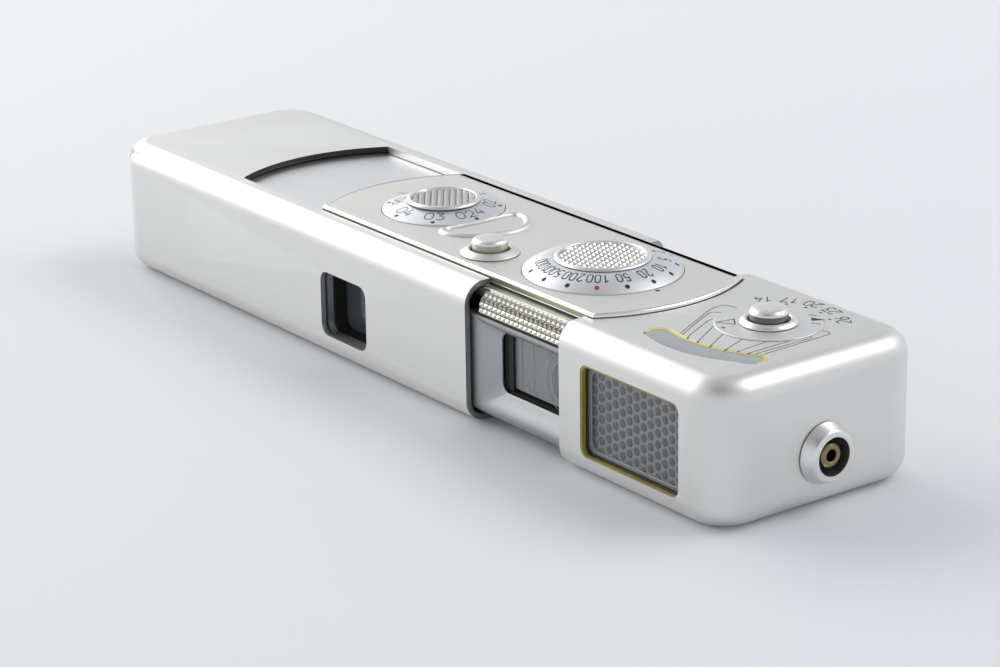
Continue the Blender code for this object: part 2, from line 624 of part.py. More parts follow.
def taper(made, axis, side, factor, centre):
    """Scales the end of a straight tool, so that the hole it cuts has sloping sides."""
    values = [vertex.co[axis] for vertex in made.data.vertices]
    end = max(values) if side > 0 else min(values)
    middle = Vector([value * MM for value in centre])
    for vertex in made.data.vertices:
        if abs(vertex.co[axis] - end) < 1e-7:
            offset = vertex.co - middle
            moved = middle + offset * factor
            moved[axis] = vertex.co[axis]
            vertex.co = moved


def make_viewfinder():
    paint = material("viewfinder_bezel", SILVER, 0.5, 0.9)
    made = chassis_block("viewfinder_bezel", BEZEL_LEFT, CHASSIS_RIGHT, paint)
    keep = box("viewfinder_bezel_keep", (BEZEL_LEFT - 1, -HALF_WIDTH, 0),
               (HOUSING_LEFT, BEZEL_BACK, BEZEL_TOP), None, cutters)
    combine(made, keep, "INTERSECT")
    x, z = (FINDER_LEFT + FINDER_RIGHT) / 2, (FINDER_LOW + FINDER_HIGH) / 2
    width, height = FINDER_RIGHT - FINDER_LEFT, FINDER_HIGH - FINDER_LOW
    tool = flat_shape("viewfinder_bezel_opening", rounded_rectangle(x, z, width, height, 1.1),
                      -CHASSIS_HALF - 0.2, BEZEL_BACK + 0.2, None, "XZ", cutters)
    taper(tool, 1, 1, 0.9, (x, 0, z))
    combine(made, tool)
    glass = material("viewfinder_front_lens", SMOKE, 0.05, 0.0)
    made = flat_shape("viewfinder_front_lens", rounded_rectangle(x, z, width - 1.4, height - 0.9, 0.8),
                      -11.2, -10.2, glass, "XZ")
    dish = turned("viewfinder_front_lens_dish", [(0, 1.0), (3.0, 1.0), (2.6, 0.2), (1.8, -0.15),
                                                 (0.9, -0.33), (0, -0.4)], None,
                  (x, -10.2 - 1.0 + 0.4, z), 24, facing="-Y", collection=cutters)
    combine(made, dish)
    tube = material("viewfinder_tube", BLACK, 0.6, 0.0)
    made = box("viewfinder_tube", (FINDER_LEFT - 0.2, -11.6, 3.9), (FINDER_RIGHT + 0.2, 11.4, 12.0), tube)
    cut_box(made, "inside", (FINDER_LEFT + 0.5, -13, 4.7), (FINDER_RIGHT - 0.5, 13, 11.2))
    cut_box(made, "mask_slot", (10, -8.9, 3), (FINDER_LEFT + 2, -8.0, 11.9))
    mask = material("parallax_frame", BLACK, 0.5, 0.3)
    made = box("parallax_frame", (20.3, -8.6, 5.1), (29.0, -8.3, 10.8), mask)
    cut_box(made, "opening", (21.3, -9, 5.9), (28.0, -8, 10.0))
    combine(made, box("parallax_arm", (-1.3, -8.6, 10.2), (20.8, -8.3, 10.8), None, cutters), "UNION")
    eye = material("viewfinder_eyepiece_lens", SMOKE, 0.05, 0.0)
    flat_shape("viewfinder_eyepiece_lens", rounded_rectangle(25.2, 7.9, 7.6, 5.2, 1.0), 9.9, 11.3, eye,
               "XZ")
    ring = material("eyepiece_bezel", BLACK, 0.5, 0.2)
    made = flat_shape("eyepiece_bezel", rounded_rectangle(25.2, 7.9, 8.3, 5.5, 1.05), 11.55,
                      CHASSIS_HALF, ring, "XZ")
    cut_shape(made, "opening", rounded_rectangle(25.2, 7.9, 6.3, 3.9, 0.8), 11, HALF_WIDTH, "XZ")


# ---------------------------------------------------------------- lens and shutter
def make_lens():
    paint = material("lens_hood", BLACK, 0.7, 0.0)
    outer = rounded_rectangle(LENS_X, LENS_Z, LENS_WINDOW_W + 1.2, LENS_WINDOW_H + 1.2, 1.5)
    inner = rounded_rectangle(LENS_X, LENS_Z, LENS_WINDOW_W, LENS_WINDOW_H, LENS_WINDOW_R)
    made = flat_shape("lens_hood", outer, -12.1, -10.5, paint, "XZ")
    cut_shape(made, "opening", inner, -14, -9, "XZ")
    glass = material("lens_window", SMOKE, 0.03, 0.0)
    flat_shape("lens_window", outer, -10.35, -9.75, glass, "XZ")
    black = material("lens_barrel", (0.05, 0.05, 0.05), 0.4, 0.8)
    place = (LENS_X, 0, LENS_Z)
    made = turned("lens_barrel", [(2.75, 6.8), (3.9, 6.8), (3.9, 1.2), (2.75, 1.2)], black, place, 32,
                  closed=True, facing="-Y")
    face = -FOCUS_CAM_R - SEAM
    post = box("lens_follower", (DISTANCE_X - 0.25, face - 0.75, LENS_Z + 3.2),
               (DISTANCE_X + 0.25, face, 13.5), None, cutters)
    combine(made, post, "UNION")
    element = material("front_lens_element", (0.5, 0.5, 0.6), 0.02, 0.0)
    turned("front_lens_element", [(0, 6.5), (1.3, 6.35), (2.6, 5.9), (2.6, 5.2), (0, 5.2)], element,
           place, 24, facing="-Y")
    element = material("rear_lens_element", (0.5, 0.5, 0.6), 0.02, 0.0)
    turned("rear_lens_element", [(0, 2.9), (2.6, 2.9), (2.6, 2.1), (1.3, 1.65), (0, 1.5)], element,
           place, 24, facing="-Y")
    guide = material("lens_guide", BRASS, 0.4, 1.0)
    made = box("lens_guide", (LENS_X - 5.1, -6.2, 2.2), (LENS_X + 5.1, -4.95, 11.4), guide)
    cut_shape(made, "bore", circle(LENS_X, LENS_Z, 4.05, 32), -7, -4, "XZ")


def make_shutter():
    plate = material("shutter_plate", (0.08, 0.08, 0.08), 0.5, 0.6)
    made = box("shutter_plate", (LENS_X - 6.0, -7.75, 2.2), (LENS_X + 6.0, -7.35, 13.9), plate)
    cut_shape(made, "aperture", circle(LENS_X, LENS_Z, 4.3, 32), -9, -6, "XZ")
    pivot_z = 12.7
    pin = material("shutter_pivot_pin", STEEL, 0.3, 1.0)
    turned("shutter_pivot_pin", [(0, 8.85), (0.45, 8.85), (0.45, 7.85), (0, 7.85)], pin,
           (LENS_X, 0, pivot_z), 16, facing="-Y")
    reach = pivot_z - LENS_Z
    for name, y_low, y_high, swing in (("shutter_front_blade", -8.75, -8.55, 0),
                                       ("shutter_rear_blade", -8.2, -8.0, 62)):
        paint = material(name, (0.12, 0.12, 0.12), 0.4, 0.7)
        paddle = arc(0, -reach, 3.0, -235, 55, 18)
        outline = [(-0.95, -0.3), *paddle, (0.95, -0.3)]
        outline += arc(0, 0, 1.0, -15, 195, 8)[1:-1]
        turn = math.radians(swing)
        place = [(LENS_X + x * math.cos(turn) - z * math.sin(turn),
                  pivot_z + x * math.sin(turn) + z * math.cos(turn)) for x, z in outline]
        made = flat_shape(name, place, y_low, y_high, paint, "XZ")
        cut_shape(made, "bore", circle(LENS_X, pivot_z, 0.53, 16), -10, -6, "XZ")


# ---------------------------------------------------------------- film path and transport
def make_film_path():
    gate = material("film_gate", (0.06, 0.06, 0.06), 0.5, 0.5)
    made = box("film_gate", (LENS_X - 7.6, 4.6, 2.2), (LENS_X + 7.6, 5.2, 11.4), gate)
    cut_box(made, "aperture", (LENS_X - 5.5, 4, LENS_Z - 4), (LENS_X + 5.5, 6, LENS_Z + 4))
    plate = material("pressure_plate", (0.1, 0.1, 0.1), 0.4, 0.6)
    box("pressure_plate", (LENS_X - 6.4, 5.95, 3.3), (LENS_X + 6.4, 6.6, 10.1), plate)
    spring = material("pressure_spring", STEEL, 0.3, 1.0)
    bow = [(LENS_X + x, 10.4 - 3.3 * (1 - (x / 6.0) ** 2)) for x in np.linspace(-6, 6, 9)]
    outline = bow + [(x, y + 0.25) for x, y in reversed(bow)]
    flat_shape("pressure_spring", outline, 5.2, 8.2, spring)
    shell = material("film_cassette", (0.12, 0.12, 0.13), 0.35, 0.7)
    low, high, radius = 2.2, 12.0, 6.0
    made = disc("film_cassette", radius, low, high, shell, TAKE_UP_X, SPOOL_Y, 24)
    combine(made, disc("cassette_feed", radius, low, high, None, FEED_X, SPOOL_Y, 24, cutters), "UNION")
    combine(made, box("cassette_bridge", (FEED_X, 7.2, low), (TAKE_UP_X, 8.4, low + 0.8), None, cutters),
            "UNION")
    for label, x in (("take_up_room", TAKE_UP_X), ("feed_room", FEED_X)):
        cut_round(made, label, radius - 0.5, low + 0.5, high - 0.5, x, SPOOL_Y, 24)
    cut_round(made, "drive_hole", 2.1, high - 1, high + 1, TAKE_UP_X, SPOOL_Y, 20)
    cut_box(made, "film_slit", (FEED_X + 3.0, 5.35, 2.5), (TAKE_UP_X - 3.0, 5.85, 11.4))
    film = material("film_strip", (0.15, 0.1, 0.12), 0.3, 0.0)
    box("film_strip", (FEED_X + 5.8, 5.45, 2.7), (TAKE_UP_X - 5.8, 5.6, 11.2), film)


def make_transport():
    gear = material("winding_gear", BRASS, 0.35, 1.0)
    along = math.degrees(math.atan2(PINION_Y - SPOOL_Y, PINION_X - TAKE_UP_X))
    step = 360 / TEETH
    # the pinion has a tooth at 90 degrees, in a gap of the rack
    offset = (along + 180 - 90 + step / 2) % step - step / 2
    phase = along + offset + step / 2
    made = flat_shape("winding_gear", gear_outline(TAKE_UP_X, SPOOL_Y, TEETH, MODULE, phase), GEAR_LOW,
                      GEAR_HIGH, gear)
    combine(made, disc("winding_spindle", 1.4, 10.2, GEAR_HIGH - 0.1, None, TAKE_UP_X, SPOOL_Y, 16,
                       cutters), "UNION")
    core = material("take_up_spool", (0.08, 0.08, 0.08), 0.4, 0.0)
    turned("take_up_spool", [(0, 9.8), (1.55, 9.8), (1.55, 11.3), (2.4, 11.3), (2.4, 3.0), (0, 3.0)],
           core, (TAKE_UP_X, SPOOL_Y, 0), 24)
    pinion = material("drive_pinion", BRASS, 0.35, 1.0)
    made = flat_shape("drive_pinion", gear_outline(PINION_X, PINION_Y, TEETH, MODULE, 90), GEAR_LOW,
                      GEAR_HIGH, pinion)
    cut_round(made, "bore", 0.85, GEAR_LOW - 1, GEAR_HIGH + 1, PINION_X, PINION_Y, 16)
    post = material("pinion_post", STEEL, 0.3, 1.0)
    turned("pinion_post", [(0, 14.1), (1.3, 14.1), (1.3, 13.4), (0.78, 13.4), (0.78, 12.3), (0, 12.3)],
           post, (PINION_X, PINION_Y, 0), 16)


# ---------------------------------------------------------------- meter housing
def edge_angle(edge, x):
    """The angle at which the lower half of an edge's circle passes x, in degrees."""
    return -math.degrees(math.acos((x - edge[0]) / edge[2]))


def end_cap(start, stop, steps=8):
    """A half circle from start to stop, on the right-hand side of that line."""
    cx, cy = (start[0] + stop[0]) / 2, (start[1] + stop[1]) / 2
    radius = math.hypot(start[0] - cx, start[1] - cy)
    first = math.degrees(math.atan2(start[1] - cy, start[0] - cx))
    return arc(cx, cy, radius, first, first + 180, steps)[1:-1]


def window_outline(grow):
    """The needle's curved window: two arcs that aren't concentric, with round ends."""
    outer = (WINDOW_OUTER[0], WINDOW_OUTER[1], WINDOW_OUTER[2] + grow)
    inner = (WINDOW_INNER[0], WINDOW_INNER[1], WINDOW_INNER[2] - grow)
    low = arc(*outer, edge_angle(outer, WINDOW_LEFT), edge_angle(outer, WINDOW_RIGHT), 14)
    high = arc(*inner, edge_angle(inner, WINDOW_RIGHT), edge_angle(inner, WINDOW_LEFT), 14)
    return low + end_cap(low[-1], high[0]) + high + end_cap(high[-1], low[0])


def make_housing():
    paint = material("meter_housing", SILVER, 0.42, 0.9)
    made = rounded_bar("meter_housing", HOUSING_LEFT, RIGHT_END, HALF_WIDTH, 0, HEIGHT, LONG_EDGE, paint,
                       corner_right=RIGHT_CORNER)
    hollow = rounded_bar("meter_housing_hollow", HOUSING_LEFT - 5, RIGHT_END - WALL, HALF_WIDTH - WALL,
                         WALL, HEIGHT - WALL, LONG_EDGE - WALL, None,
                         corner_right=RIGHT_CORNER - WALL, collection=cutters)
    combine(made, hollow)
    cut_shape(made, "plate_seat", plate_outline(0.2), PLATE_BOTTOM - 1.2, HEIGHT + 1)
    cell = rounded_rectangle(CELL_X, CELL_Z, CELL_W, CELL_H, CELL_R)
    cut_shape(made, "cell_opening", cell, -HALF_WIDTH - 1, -HALF_WIDTH + WALL + 0.3, "XZ")
    cut_shape(made, "needle_opening", window_outline(0), HEIGHT - WALL - 1, HEIGHT + 1)
    cut_round(made, "disc_seat", 2.3, HEIGHT - WALL - 1, HEIGHT + 1, METER_X, METER_Y, 24)
    tool = turned("meter_housing_socket_bore", [(0, 3), (2.5, 3), (2.5, -3), (0, -3)], None,
                  (RIGHT_END, SOCKET_Y, SOCKET_Z), 24, facing="X", collection=cutters)
    combine(made, tool)


def make_meter():
    gasket = material("cell_gasket", (0.45, 0.40, 0.18), 0.5, 0.0)
    front = -HALF_WIDTH + WALL + SEAM
    outer = rounded_rectangle(CELL_X, CELL_Z, CELL_W + 1.0, CELL_H + 1.0, CELL_R + 0.4)
    made = flat_shape("cell_gasket", outer, front, front + 0.5, gasket, "XZ")
    inner = rounded_rectangle(CELL_X, CELL_Z, CELL_W - 0.5, CELL_H - 0.5, CELL_R)
    cut_shape(made, "opening", inner, -HALF_WIDTH, -12, "XZ")
    glass = material("cell_window", SMOKE, 0.1, 0.0)
    flat_shape("cell_window", outer, front + 0.6, front + 1.4, glass, "XZ")
    cell = material("selenium_cell", (0.12, 0.13, 0.15), 0.3, 0.3)
    flat_shape("selenium_cell", outer, front + 1.6, front + 2.4, cell, "XZ")
    clear = material("needle_window", (0.8, 0.8, 0.75), 0.08, 0.0)
    made = flat_shape("needle_window", window_outline(0.8), HEIGHT - WALL - 0.75, HEIGHT - WALL - 0.1,
                      clear)
    combine(made, flat_shape("needle_window_lens", window_outline(-0.12), HEIGHT - WALL - 0.3,
                             HEIGHT - 0.06, None, "XY", cutters), "UNION")
    paint = material("film_speed_disc", SILVER, 0.35, 0.9)
    turned("film_speed_disc", [(0, METER_DISC_TOP), (METER_DISC_R - 0.04, METER_DISC_TOP),
                               (METER_DISC_R, METER_DISC_TOP - 0.02), (METER_DISC_R, HEIGHT + 0.04),
                               (2.1, HEIGHT + 0.04), (2.1, 14.9), (0, 14.9)],
           paint, (METER_X, METER_Y, 0), 32)
    knob = material("film_speed_knob", (0.85, 0.85, 0.84), 0.2, 1.0)
    low = METER_DISC_TOP + 0.06
    turned("film_speed_knob", [(0, METER_KNOB_TOP), (1.2, METER_KNOB_TOP - 0.08),
                               (1.8, METER_KNOB_TOP - 0.35), (2.1, METER_KNOB_TOP - 0.8),
                               (2.1, low + 0.4), (2.7, low + 0.35), (3.1, low + 0.1), (3.1, low),
                               (0, low)], knob, (METER_X, METER_Y, 0), 24)
    magnet = material("galvanometer_magnet", STEEL, 0.4, 1.0)
    made = disc("galvanometer_magnet", 7.0, 2.0, 12.0, magnet, METER_X, METER_Y + 1.0, 28)
    cut_round(made, "coil_room", 4.2, 1, 13, METER_X, METER_Y, 24)
    needle = material("meter_needle", (0.05, 0.05, 0.05), 0.5, 0.0)
    made = disc("meter_needle", 3.2, 3.2, 14.2, needle, METER_X, METER_Y, 20)
    hand = box("needle_hand", (-0.15, -NEEDLE_R, 13.8), (0.15, 1, 14.1), None, cutters)
    hand.location = (METER_X * MM, METER_Y * MM, 0)
    hand.rotation_euler = (0, 0, math.radians(-28))
    combine(made, hand, "UNION")


def make_flash_socket():
    paint = material("flash_socket_collar", SILVER, 0.4, 0.9)
    place = (RIGHT_END, SOCKET_Y, SOCKET_Z)
    turned("flash_socket_collar", [(SOCKET_HOLE_R, SOCKET_PROUD), (SOCKET_TIP_R - 0.2, SOCKET_PROUD),
                                   (SOCKET_TIP_R, SOCKET_PROUD - 0.15), (SOCKET_BASE_R, 0.08),
                                   (2.35, 0.08), (2.35, -1.6), (SOCKET_HOLE_R, -1.6)],
           paint, place, 28, closed=True, facing="X")
    black = material("socket_insulator", BLACK, 0.5, 0.0)
    turned("socket_insulator", [(1.45, -0.6), (SOCKET_HOLE_R - 0.12, -0.6), (SOCKET_HOLE_R - 0.12, -2.2),
                                (1.45, -2.2)], black, place, 24, closed=True, facing="X")
    brass = material("socket_contact", BRASS, 0.3, 1.0)
    turned("socket_contact", [(0.65, CONTACT_PROUD), (1.33, CONTACT_PROUD), (1.33, -2.6), (0.65, -2.6)], brass, place, 20,
           closed=True, facing="X")


make_sleeve()
make_rack()
make_chassis()
make_covers()
make_screws()
make_plate()
make_dial("speed_dial", SPEED_X, SPEED_R, SPEED_KNOB_R, SPEED_KNOB_TOP, SPEED_CROWN, SPEED_BULGE)
make_dial("distance_dial", DISTANCE_X, DISTANCE_R, DISTANCE_KNOB_R, DISTANCE_KNOB_TOP, DISTANCE_CROWN, DISTANCE_BULGE)
make_speed_cam()
make_focus_cam()
make_counter()
make_release()
make_filter()
make_viewfinder()
make_lens()
make_shutter()
make_film_path()
make_transport()
make_housing()
make_meter()
make_flash_socket()
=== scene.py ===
"""Looks of the sliding subminiature camera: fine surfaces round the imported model.

All named sizes are in millimetres, in the model's own frame, and MM turns them into metres.
"""
import math

import bmesh
import bpy
from mathutils import Matrix, Vector


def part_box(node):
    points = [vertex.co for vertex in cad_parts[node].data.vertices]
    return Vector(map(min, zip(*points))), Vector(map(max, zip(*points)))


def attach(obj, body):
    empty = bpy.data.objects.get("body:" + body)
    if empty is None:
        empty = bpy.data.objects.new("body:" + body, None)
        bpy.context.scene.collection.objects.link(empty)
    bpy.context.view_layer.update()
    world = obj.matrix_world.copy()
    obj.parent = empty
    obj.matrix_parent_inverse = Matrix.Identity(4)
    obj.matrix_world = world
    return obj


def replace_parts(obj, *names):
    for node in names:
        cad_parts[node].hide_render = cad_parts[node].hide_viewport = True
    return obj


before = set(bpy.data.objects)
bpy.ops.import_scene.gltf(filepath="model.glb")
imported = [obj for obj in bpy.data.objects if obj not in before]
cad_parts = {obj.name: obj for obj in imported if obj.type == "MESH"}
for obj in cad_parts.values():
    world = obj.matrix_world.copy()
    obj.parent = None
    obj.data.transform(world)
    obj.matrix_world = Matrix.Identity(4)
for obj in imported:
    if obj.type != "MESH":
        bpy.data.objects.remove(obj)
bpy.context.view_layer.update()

MM = 0.001

# ---------------------------------------------------------------- places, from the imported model
def corners(node):
    """A node's lowest and highest corners, in mm."""
    low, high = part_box(node)
    return [value / MM for value in low], [value / MM for value in high]


SLEEVE_LOW, SLEEVE_HIGH = corners("sleeve")
HOUSING_LOW, HOUSING_HIGH = corners("meter_housing")
CHASSIS_LOW, CHASSIS_HIGH = corners("chassis_frame")
PLATE_LOW, PLATE_HIGH = corners("dial_plate")
DOOR_LOW, DOOR_HIGH = corners("film_door")
COVER_LOW, COVER_HIGH = corners("bottom_cover")
BEZEL_LOW, BEZEL_HIGH = corners("viewfinder_bezel")
BAR_HIGH = corners("filter_slide")[1]
GLASS_LOW, GLASS_HIGH = corners("viewfinder_front_lens")
GASKET_LOW, GASKET_HIGH = corners("cell_gasket")
PANE_LOW = corners("cell_window")[0]


def middle(node, axis):
    low, high = corners(node)
    return (low[axis] + high[axis]) / 2


LEFT_END, SLEEVE_RIGHT = SLEEVE_LOW[0], SLEEVE_HIGH[0]
HOUSING_LEFT, RIGHT_END = HOUSING_LOW[0], HOUSING_HIGH[0]
HALF_WIDTH, HEIGHT = SLEEVE_HIGH[1], SLEEVE_HIGH[2]
CHASSIS_HALF, CHASSIS_TOP = CHASSIS_HIGH[1], CHASSIS_HIGH[2]
CHASSIS_LEFT, CHASSIS_RIGHT = CHASSIS_LOW[0], CHASSIS_HIGH[0]
COVER_TOP = COVER_HIGH[2]
PLATE_HALF, PLATE_BOTTOM, PLATE_TOP = PLATE_HIGH[1], PLATE_LOW[2], PLATE_HIGH[2]
SPEED_X, DISTANCE_X = middle("speed_dial_disc", 0), middle("distance_dial_disc", 0)
RELEASE_X, RELEASE_Y = middle("release_collar", 0), middle("release_collar", 1)
LENS_X, LENS_Z = middle("lens_window", 0), middle("lens_window", 2)
EYE_X, EYE_Z = middle("eyepiece_bezel", 0), middle("eyepiece_bezel", 2)
CELL_X, CELL_Z = middle("cell_window", 0), middle("cell_window", 2)
METER_X, METER_Y = middle("film_speed_disc", 0), middle("film_speed_disc", 1)
SOCKET_Y, SOCKET_Z = middle("flash_socket_collar", 1), middle("flash_socket_collar", 2)
TRAVEL = 16.1                   # stroke of the sleeve

# sizes that the boxes don't give
WALL = 0.65                     # sheet of the two shells
LONG_EDGE, END_EDGE = 2.5, 0.72         # their edge radius, and its share at the sleeve's end
LEFT_CORNER, RIGHT_CORNER = 5.0, 4.75   # their corners in plan
CHASSIS_EDGE, CHASSIS_WALL, CHASSIS_CORNER = 1.55, 0.8, 4.4
SLIDE_GAP = 0.35                # room between the sleeve and what it closes against
FIT, SEAT_GAP = 0.1, 0.2        # room round a piece set into another, and round the dial plate
CUT = 1.0                       # how far a cutter reaches past what it cuts
HAIR = 0.02                     # slack in telling faces apart by their place
PLATE_ARC = 3.0                 # how far the dial plate's ends bow out
RIM_WIDTH = 0.65                # its polished edge
PLATE_FACE = PLATE_TOP - 0.04   # its face, a little below that edge
TUCK = 2.2                      # the viewfinder bezel's left edge lies under the sleeve
PLATE_LEFT, PLATE_RIGHT = PLATE_LOW[0] + PLATE_ARC, PLATE_HIGH[0] - PLATE_ARC
CUTOUT_HALF = PLATE_HALF + 0.3
LENS_WINDOW_W, LENS_WINDOW_H, LENS_WINDOW_R = 9.07, 7.69, 1.3
CELL_W, CELL_H, CELL_R = 15.83, 10.17, 1.0
FINDER_X, FINDER_Z, FINDER_W, FINDER_H = 24.65, 7.9, 11.1, 6.8
WINDOW_OUTER = (44.225, 4.0, 13.88)     # the needle window's two edges: centre and radius
WINDOW_INNER = (43.845, 7.55, 14.08)
WINDOW_LEFT, WINDOW_RIGHT = 40.4, 52.2
SCREW_X, SCREW_Y = 14.5, 10.7


# ---------------------------------------------------------------- outlines (mm, flat)
def bend(cx, cy, rx, ry, start, stop, steps=10):
    """Points of an ellipse between two angles, in degrees."""
    turn = [math.radians(start + (stop - start) * i / steps) for i in range(steps + 1)]
    return [(cx + rx * math.cos(a), cy + ry * math.sin(a)) for a in turn]


def arc(cx, cy, radius, start, stop, steps):
    return bend(cx, cy, radius, radius, start, stop, steps)


def rounded_rectangle(cx, cy, width, height, radius, steps=10):
    dx, dy = width / 2 - radius, height / 2 - radius
    points = []
    for sx, sy, start in ((1, 1, 0), (-1, 1, 90), (-1, -1, 180), (1, -1, 270)):
        points += arc(cx + sx * dx, cy + sy * dy, radius, start, start + 90, steps)
    return points


def lens_opening():
    return rounded_rectangle(LENS_X, LENS_Z, LENS_WINDOW_W, LENS_WINDOW_H, LENS_WINDOW_R)


def cell_opening(wider=0.0, higher=0.0, rounder=0.0):
    return rounded_rectangle(CELL_X, CELL_Z, CELL_W + wider, CELL_H + higher, CELL_R + rounder)


def circle(cx, cy, radius, steps=64):
    return arc(cx, cy, radius, 0, 360, steps)[:-1]


def smooth_loop(points, steps=6):
    """A closed curve through the points (Catmull-Rom)."""
    made, count = [], len(points)
    for i in range(count):
        a, b, c, d = (Vector(points[(i + k) % count]) for k in (-1, 0, 1, 2))
        for s in range(steps):
            t = s / steps
            made.append(tuple(0.5 * (2 * b + (c - a) * t + (2 * a - 5 * b + 4 * c - d) * t ** 2
                                     + (3 * b - a - 3 * c + d) * t ** 3)))
    return made


def bowed_end(x_corner, half, bow, steps, side):
    """A shallow arc across an opening or a plate; side is 1 for its right end and -1 for its left."""
    radius = (half ** 2 + bow ** 2) / (2 * bow)
    centre = x_corner + side * (bow - radius)
    spread = math.degrees(math.asin(half / radius))
    if side > 0:
        return arc(centre, 0, radius, -spread, spread, steps)
    return arc(centre, 0, radius, 180 - spread, 180 + spread, steps)


def plate_outline(grow, steps=40):
    half = PLATE_HALF + grow
    return (bowed_end(PLATE_RIGHT + grow, half, PLATE_ARC, steps, 1)
            + bowed_end(PLATE_LEFT - grow, half, PLATE_ARC, steps, -1))


def edge_angle(edge, x):
    """The angle at which an edge of the needle window reaches x."""
    return -math.degrees(math.acos((x - edge[0]) / edge[2]))


def end_cap(start, stop, steps=10):
    """A half circle from one edge's end to the other's, without the two ends."""
    cx, cy = (start[0] + stop[0]) / 2, (start[1] + stop[1]) / 2
    first = math.degrees(math.atan2(start[1] - cy, start[0] - cx))
    return arc(cx, cy, math.hypot(start[0] - cx, start[1] - cy), first, first + 180, steps)[1:-1]


def window_arcs(grow, steps=40):
    """The needle window's outer edge, left to right, and its inner edge, right to left."""
    outer = (WINDOW_OUTER[0], WINDOW_OUTER[1], WINDOW_OUTER[2] + grow)
    inner = (WINDOW_INNER[0], WINDOW_INNER[1], WINDOW_INNER[2] - grow)
    low = arc(*outer, edge_angle(outer, WINDOW_LEFT), edge_angle(outer, WINDOW_RIGHT), steps)
    high = arc(*inner, edge_angle(inner, WINDOW_RIGHT), edge_angle(inner, WINDOW_LEFT), steps)
    return low, high


def window_outline(grow):
    low, high = window_arcs(grow)
    return low + end_cap(low[-1], high[0]) + high + end_cap(high[-1], low[0])


# ---------------------------------------------------------------- solids
def link(name, mesh):
    made = bpy.data.objects.new(name, mesh)
    bpy.context.scene.collection.objects.link(made)
    return made


def from_bmesh(name, bm):
    mesh = bpy.data.meshes.new(name)
    bmesh.ops.recalc_face_normals(bm, faces=bm.faces)
    bm.to_mesh(mesh)
    bm.free()
    return link(name, mesh)


def bake(made):
    """Turns an object with modifiers, or a curve, into a plain mesh of what it shows."""
    graph = bpy.context.evaluated_depsgraph_get()
    mesh = bpy.data.meshes.new_from_object(made.evaluated_get(graph))
    name, place = made.name, made.matrix_world.copy()
    tools = [m.object for m in made.modifiers if m.type == "BOOLEAN"]
    bpy.data.objects.remove(made, do_unlink=True)
    for tool in tools:
        bpy.data.objects.remove(tool, do_unlink=True)
    mesh.transform(place)
    return link(name, mesh)


TURNS = {
    "XY": Matrix(),
    "XZ": Matrix.Rotation(math.pi / 2, 4, "X"),
    "YZ": Matrix(((0, 0, 1, 0), (1, 0, 0, 0), (0, 1, 0, 0), (0, 0, 0, 1))),
}


def flat_shape(name, outlines, low, high, plane="XY", soft=0.0, soft_steps=3):
    """Flat outlines (the first may hold the others as holes) with a thickness and soft edges."""
    curve = bpy.data.curves.new(name, "CURVE")
    curve.dimensions = "2D"
    curve.fill_mode = "BOTH"
    curve.extrude = ((high - low) / 2 - soft) * MM
    curve.bevel_depth = soft * MM
    curve.bevel_resolution = soft_steps
    curve.offset = -soft * MM
    for outline in outlines:
        spline = curve.splines.new("POLY")
        spline.points.add(len(outline) - 1)
        for point, (x, y) in zip(spline.points, outline):
            point.co = (x * MM, y * MM, 0, 1)
        spline.use_cyclic_u = True
    made = bake(link(name, curve))
    bm = bmesh.new()
    bm.from_mesh(made.data)
    bmesh.ops.remove_doubles(bm, verts=bm.verts, dist=1e-7)
    centre = (low + high) / 2 * MM
    move = {"XY": (0, 0, centre), "XZ": (0, centre, 0), "YZ": (centre, 0, 0)}[plane]
    bmesh.ops.transform(bm, matrix=Matrix.Translation(move) @ TURNS[plane], verts=bm.verts)
    bmesh.ops.recalc_face_normals(bm, faces=bm.faces)
    bm.to_mesh(made.data)
    bm.free()
    return made


def box(name, low, high):
    bm = bmesh.new()
    bmesh.ops.create_cube(bm, size=MM)
    bmesh.ops.scale(bm, vec=[b - a for a, b in zip(low, high)], verts=bm.verts)
    bmesh.ops.translate(bm, vec=[(a + b) / 2 * MM for a, b in zip(low, high)], verts=bm.verts)
    return from_bmesh(name, bm)


def turned(name, profile, place, facing="Z", steps=96, closed=False):
    """A turned piece. profile is (radius, height) down the outer side; closed makes a ring."""
    bm = bmesh.new()
    verts = [bm.verts.new((radius * MM, 0, height * MM)) for radius, height in profile]
    for first, second in zip(verts, verts[1:]):
        bm.edges.new((first, second))
    if closed:
        bm.edges.new((verts[-1], verts[0]))
    made = from_bmesh(name, bm)
    screw = made.modifiers.new("turn", "SCREW")
    screw.steps = screw.render_steps = steps
    screw.use_merge_vertices = True
    screw.merge_threshold = 0.000001
    screw.use_normal_calculate = False
    made.location = [value * MM for value in place]
    made.rotation_euler = {"Z": (0, 0, 0), "-Y": (math.pi / 2, 0, 0), "X": (0, math.pi / 2, 0)}[facing]
    bpy.context.view_layer.update()
    return bake(made)


def soft_profile(points, radius, steps=4):
    """Rounds the corners between a profile's first and last points."""
    made = [points[0]]
    for before, here, after in zip(points, points[1:], points[2:]):
        here_v = Vector(here)
        back, on = Vector(before) - here_v, Vector(after) - here_v
        reach = min(radius, back.length * 0.45, on.length * 0.45)
        first, last = here_v + back.normalized() * reach, here_v + on.normalized() * reach
        for i in range(steps + 1):
            t = i / steps
            made.append(tuple(first * (1 - t) ** 2 + here_v * 2 * t * (1 - t) + last * t ** 2))
    return made + [points[-1]]


def combine(made, tool, operation="DIFFERENCE"):
    change = made.modifiers.new(operation.lower(), "BOOLEAN")
    change.operation = operation
    change.object = tool
    change.solver = "EXACT"
    return made


def cut(made, outline, low, high, plane="XY"):
    """Cuts an opening of a flat outline."""
    return combine(made, flat_shape("cutter", [outline], low, high, plane))


def cut_box(made, low, high):
    return combine(made, box("cutter", low, high))


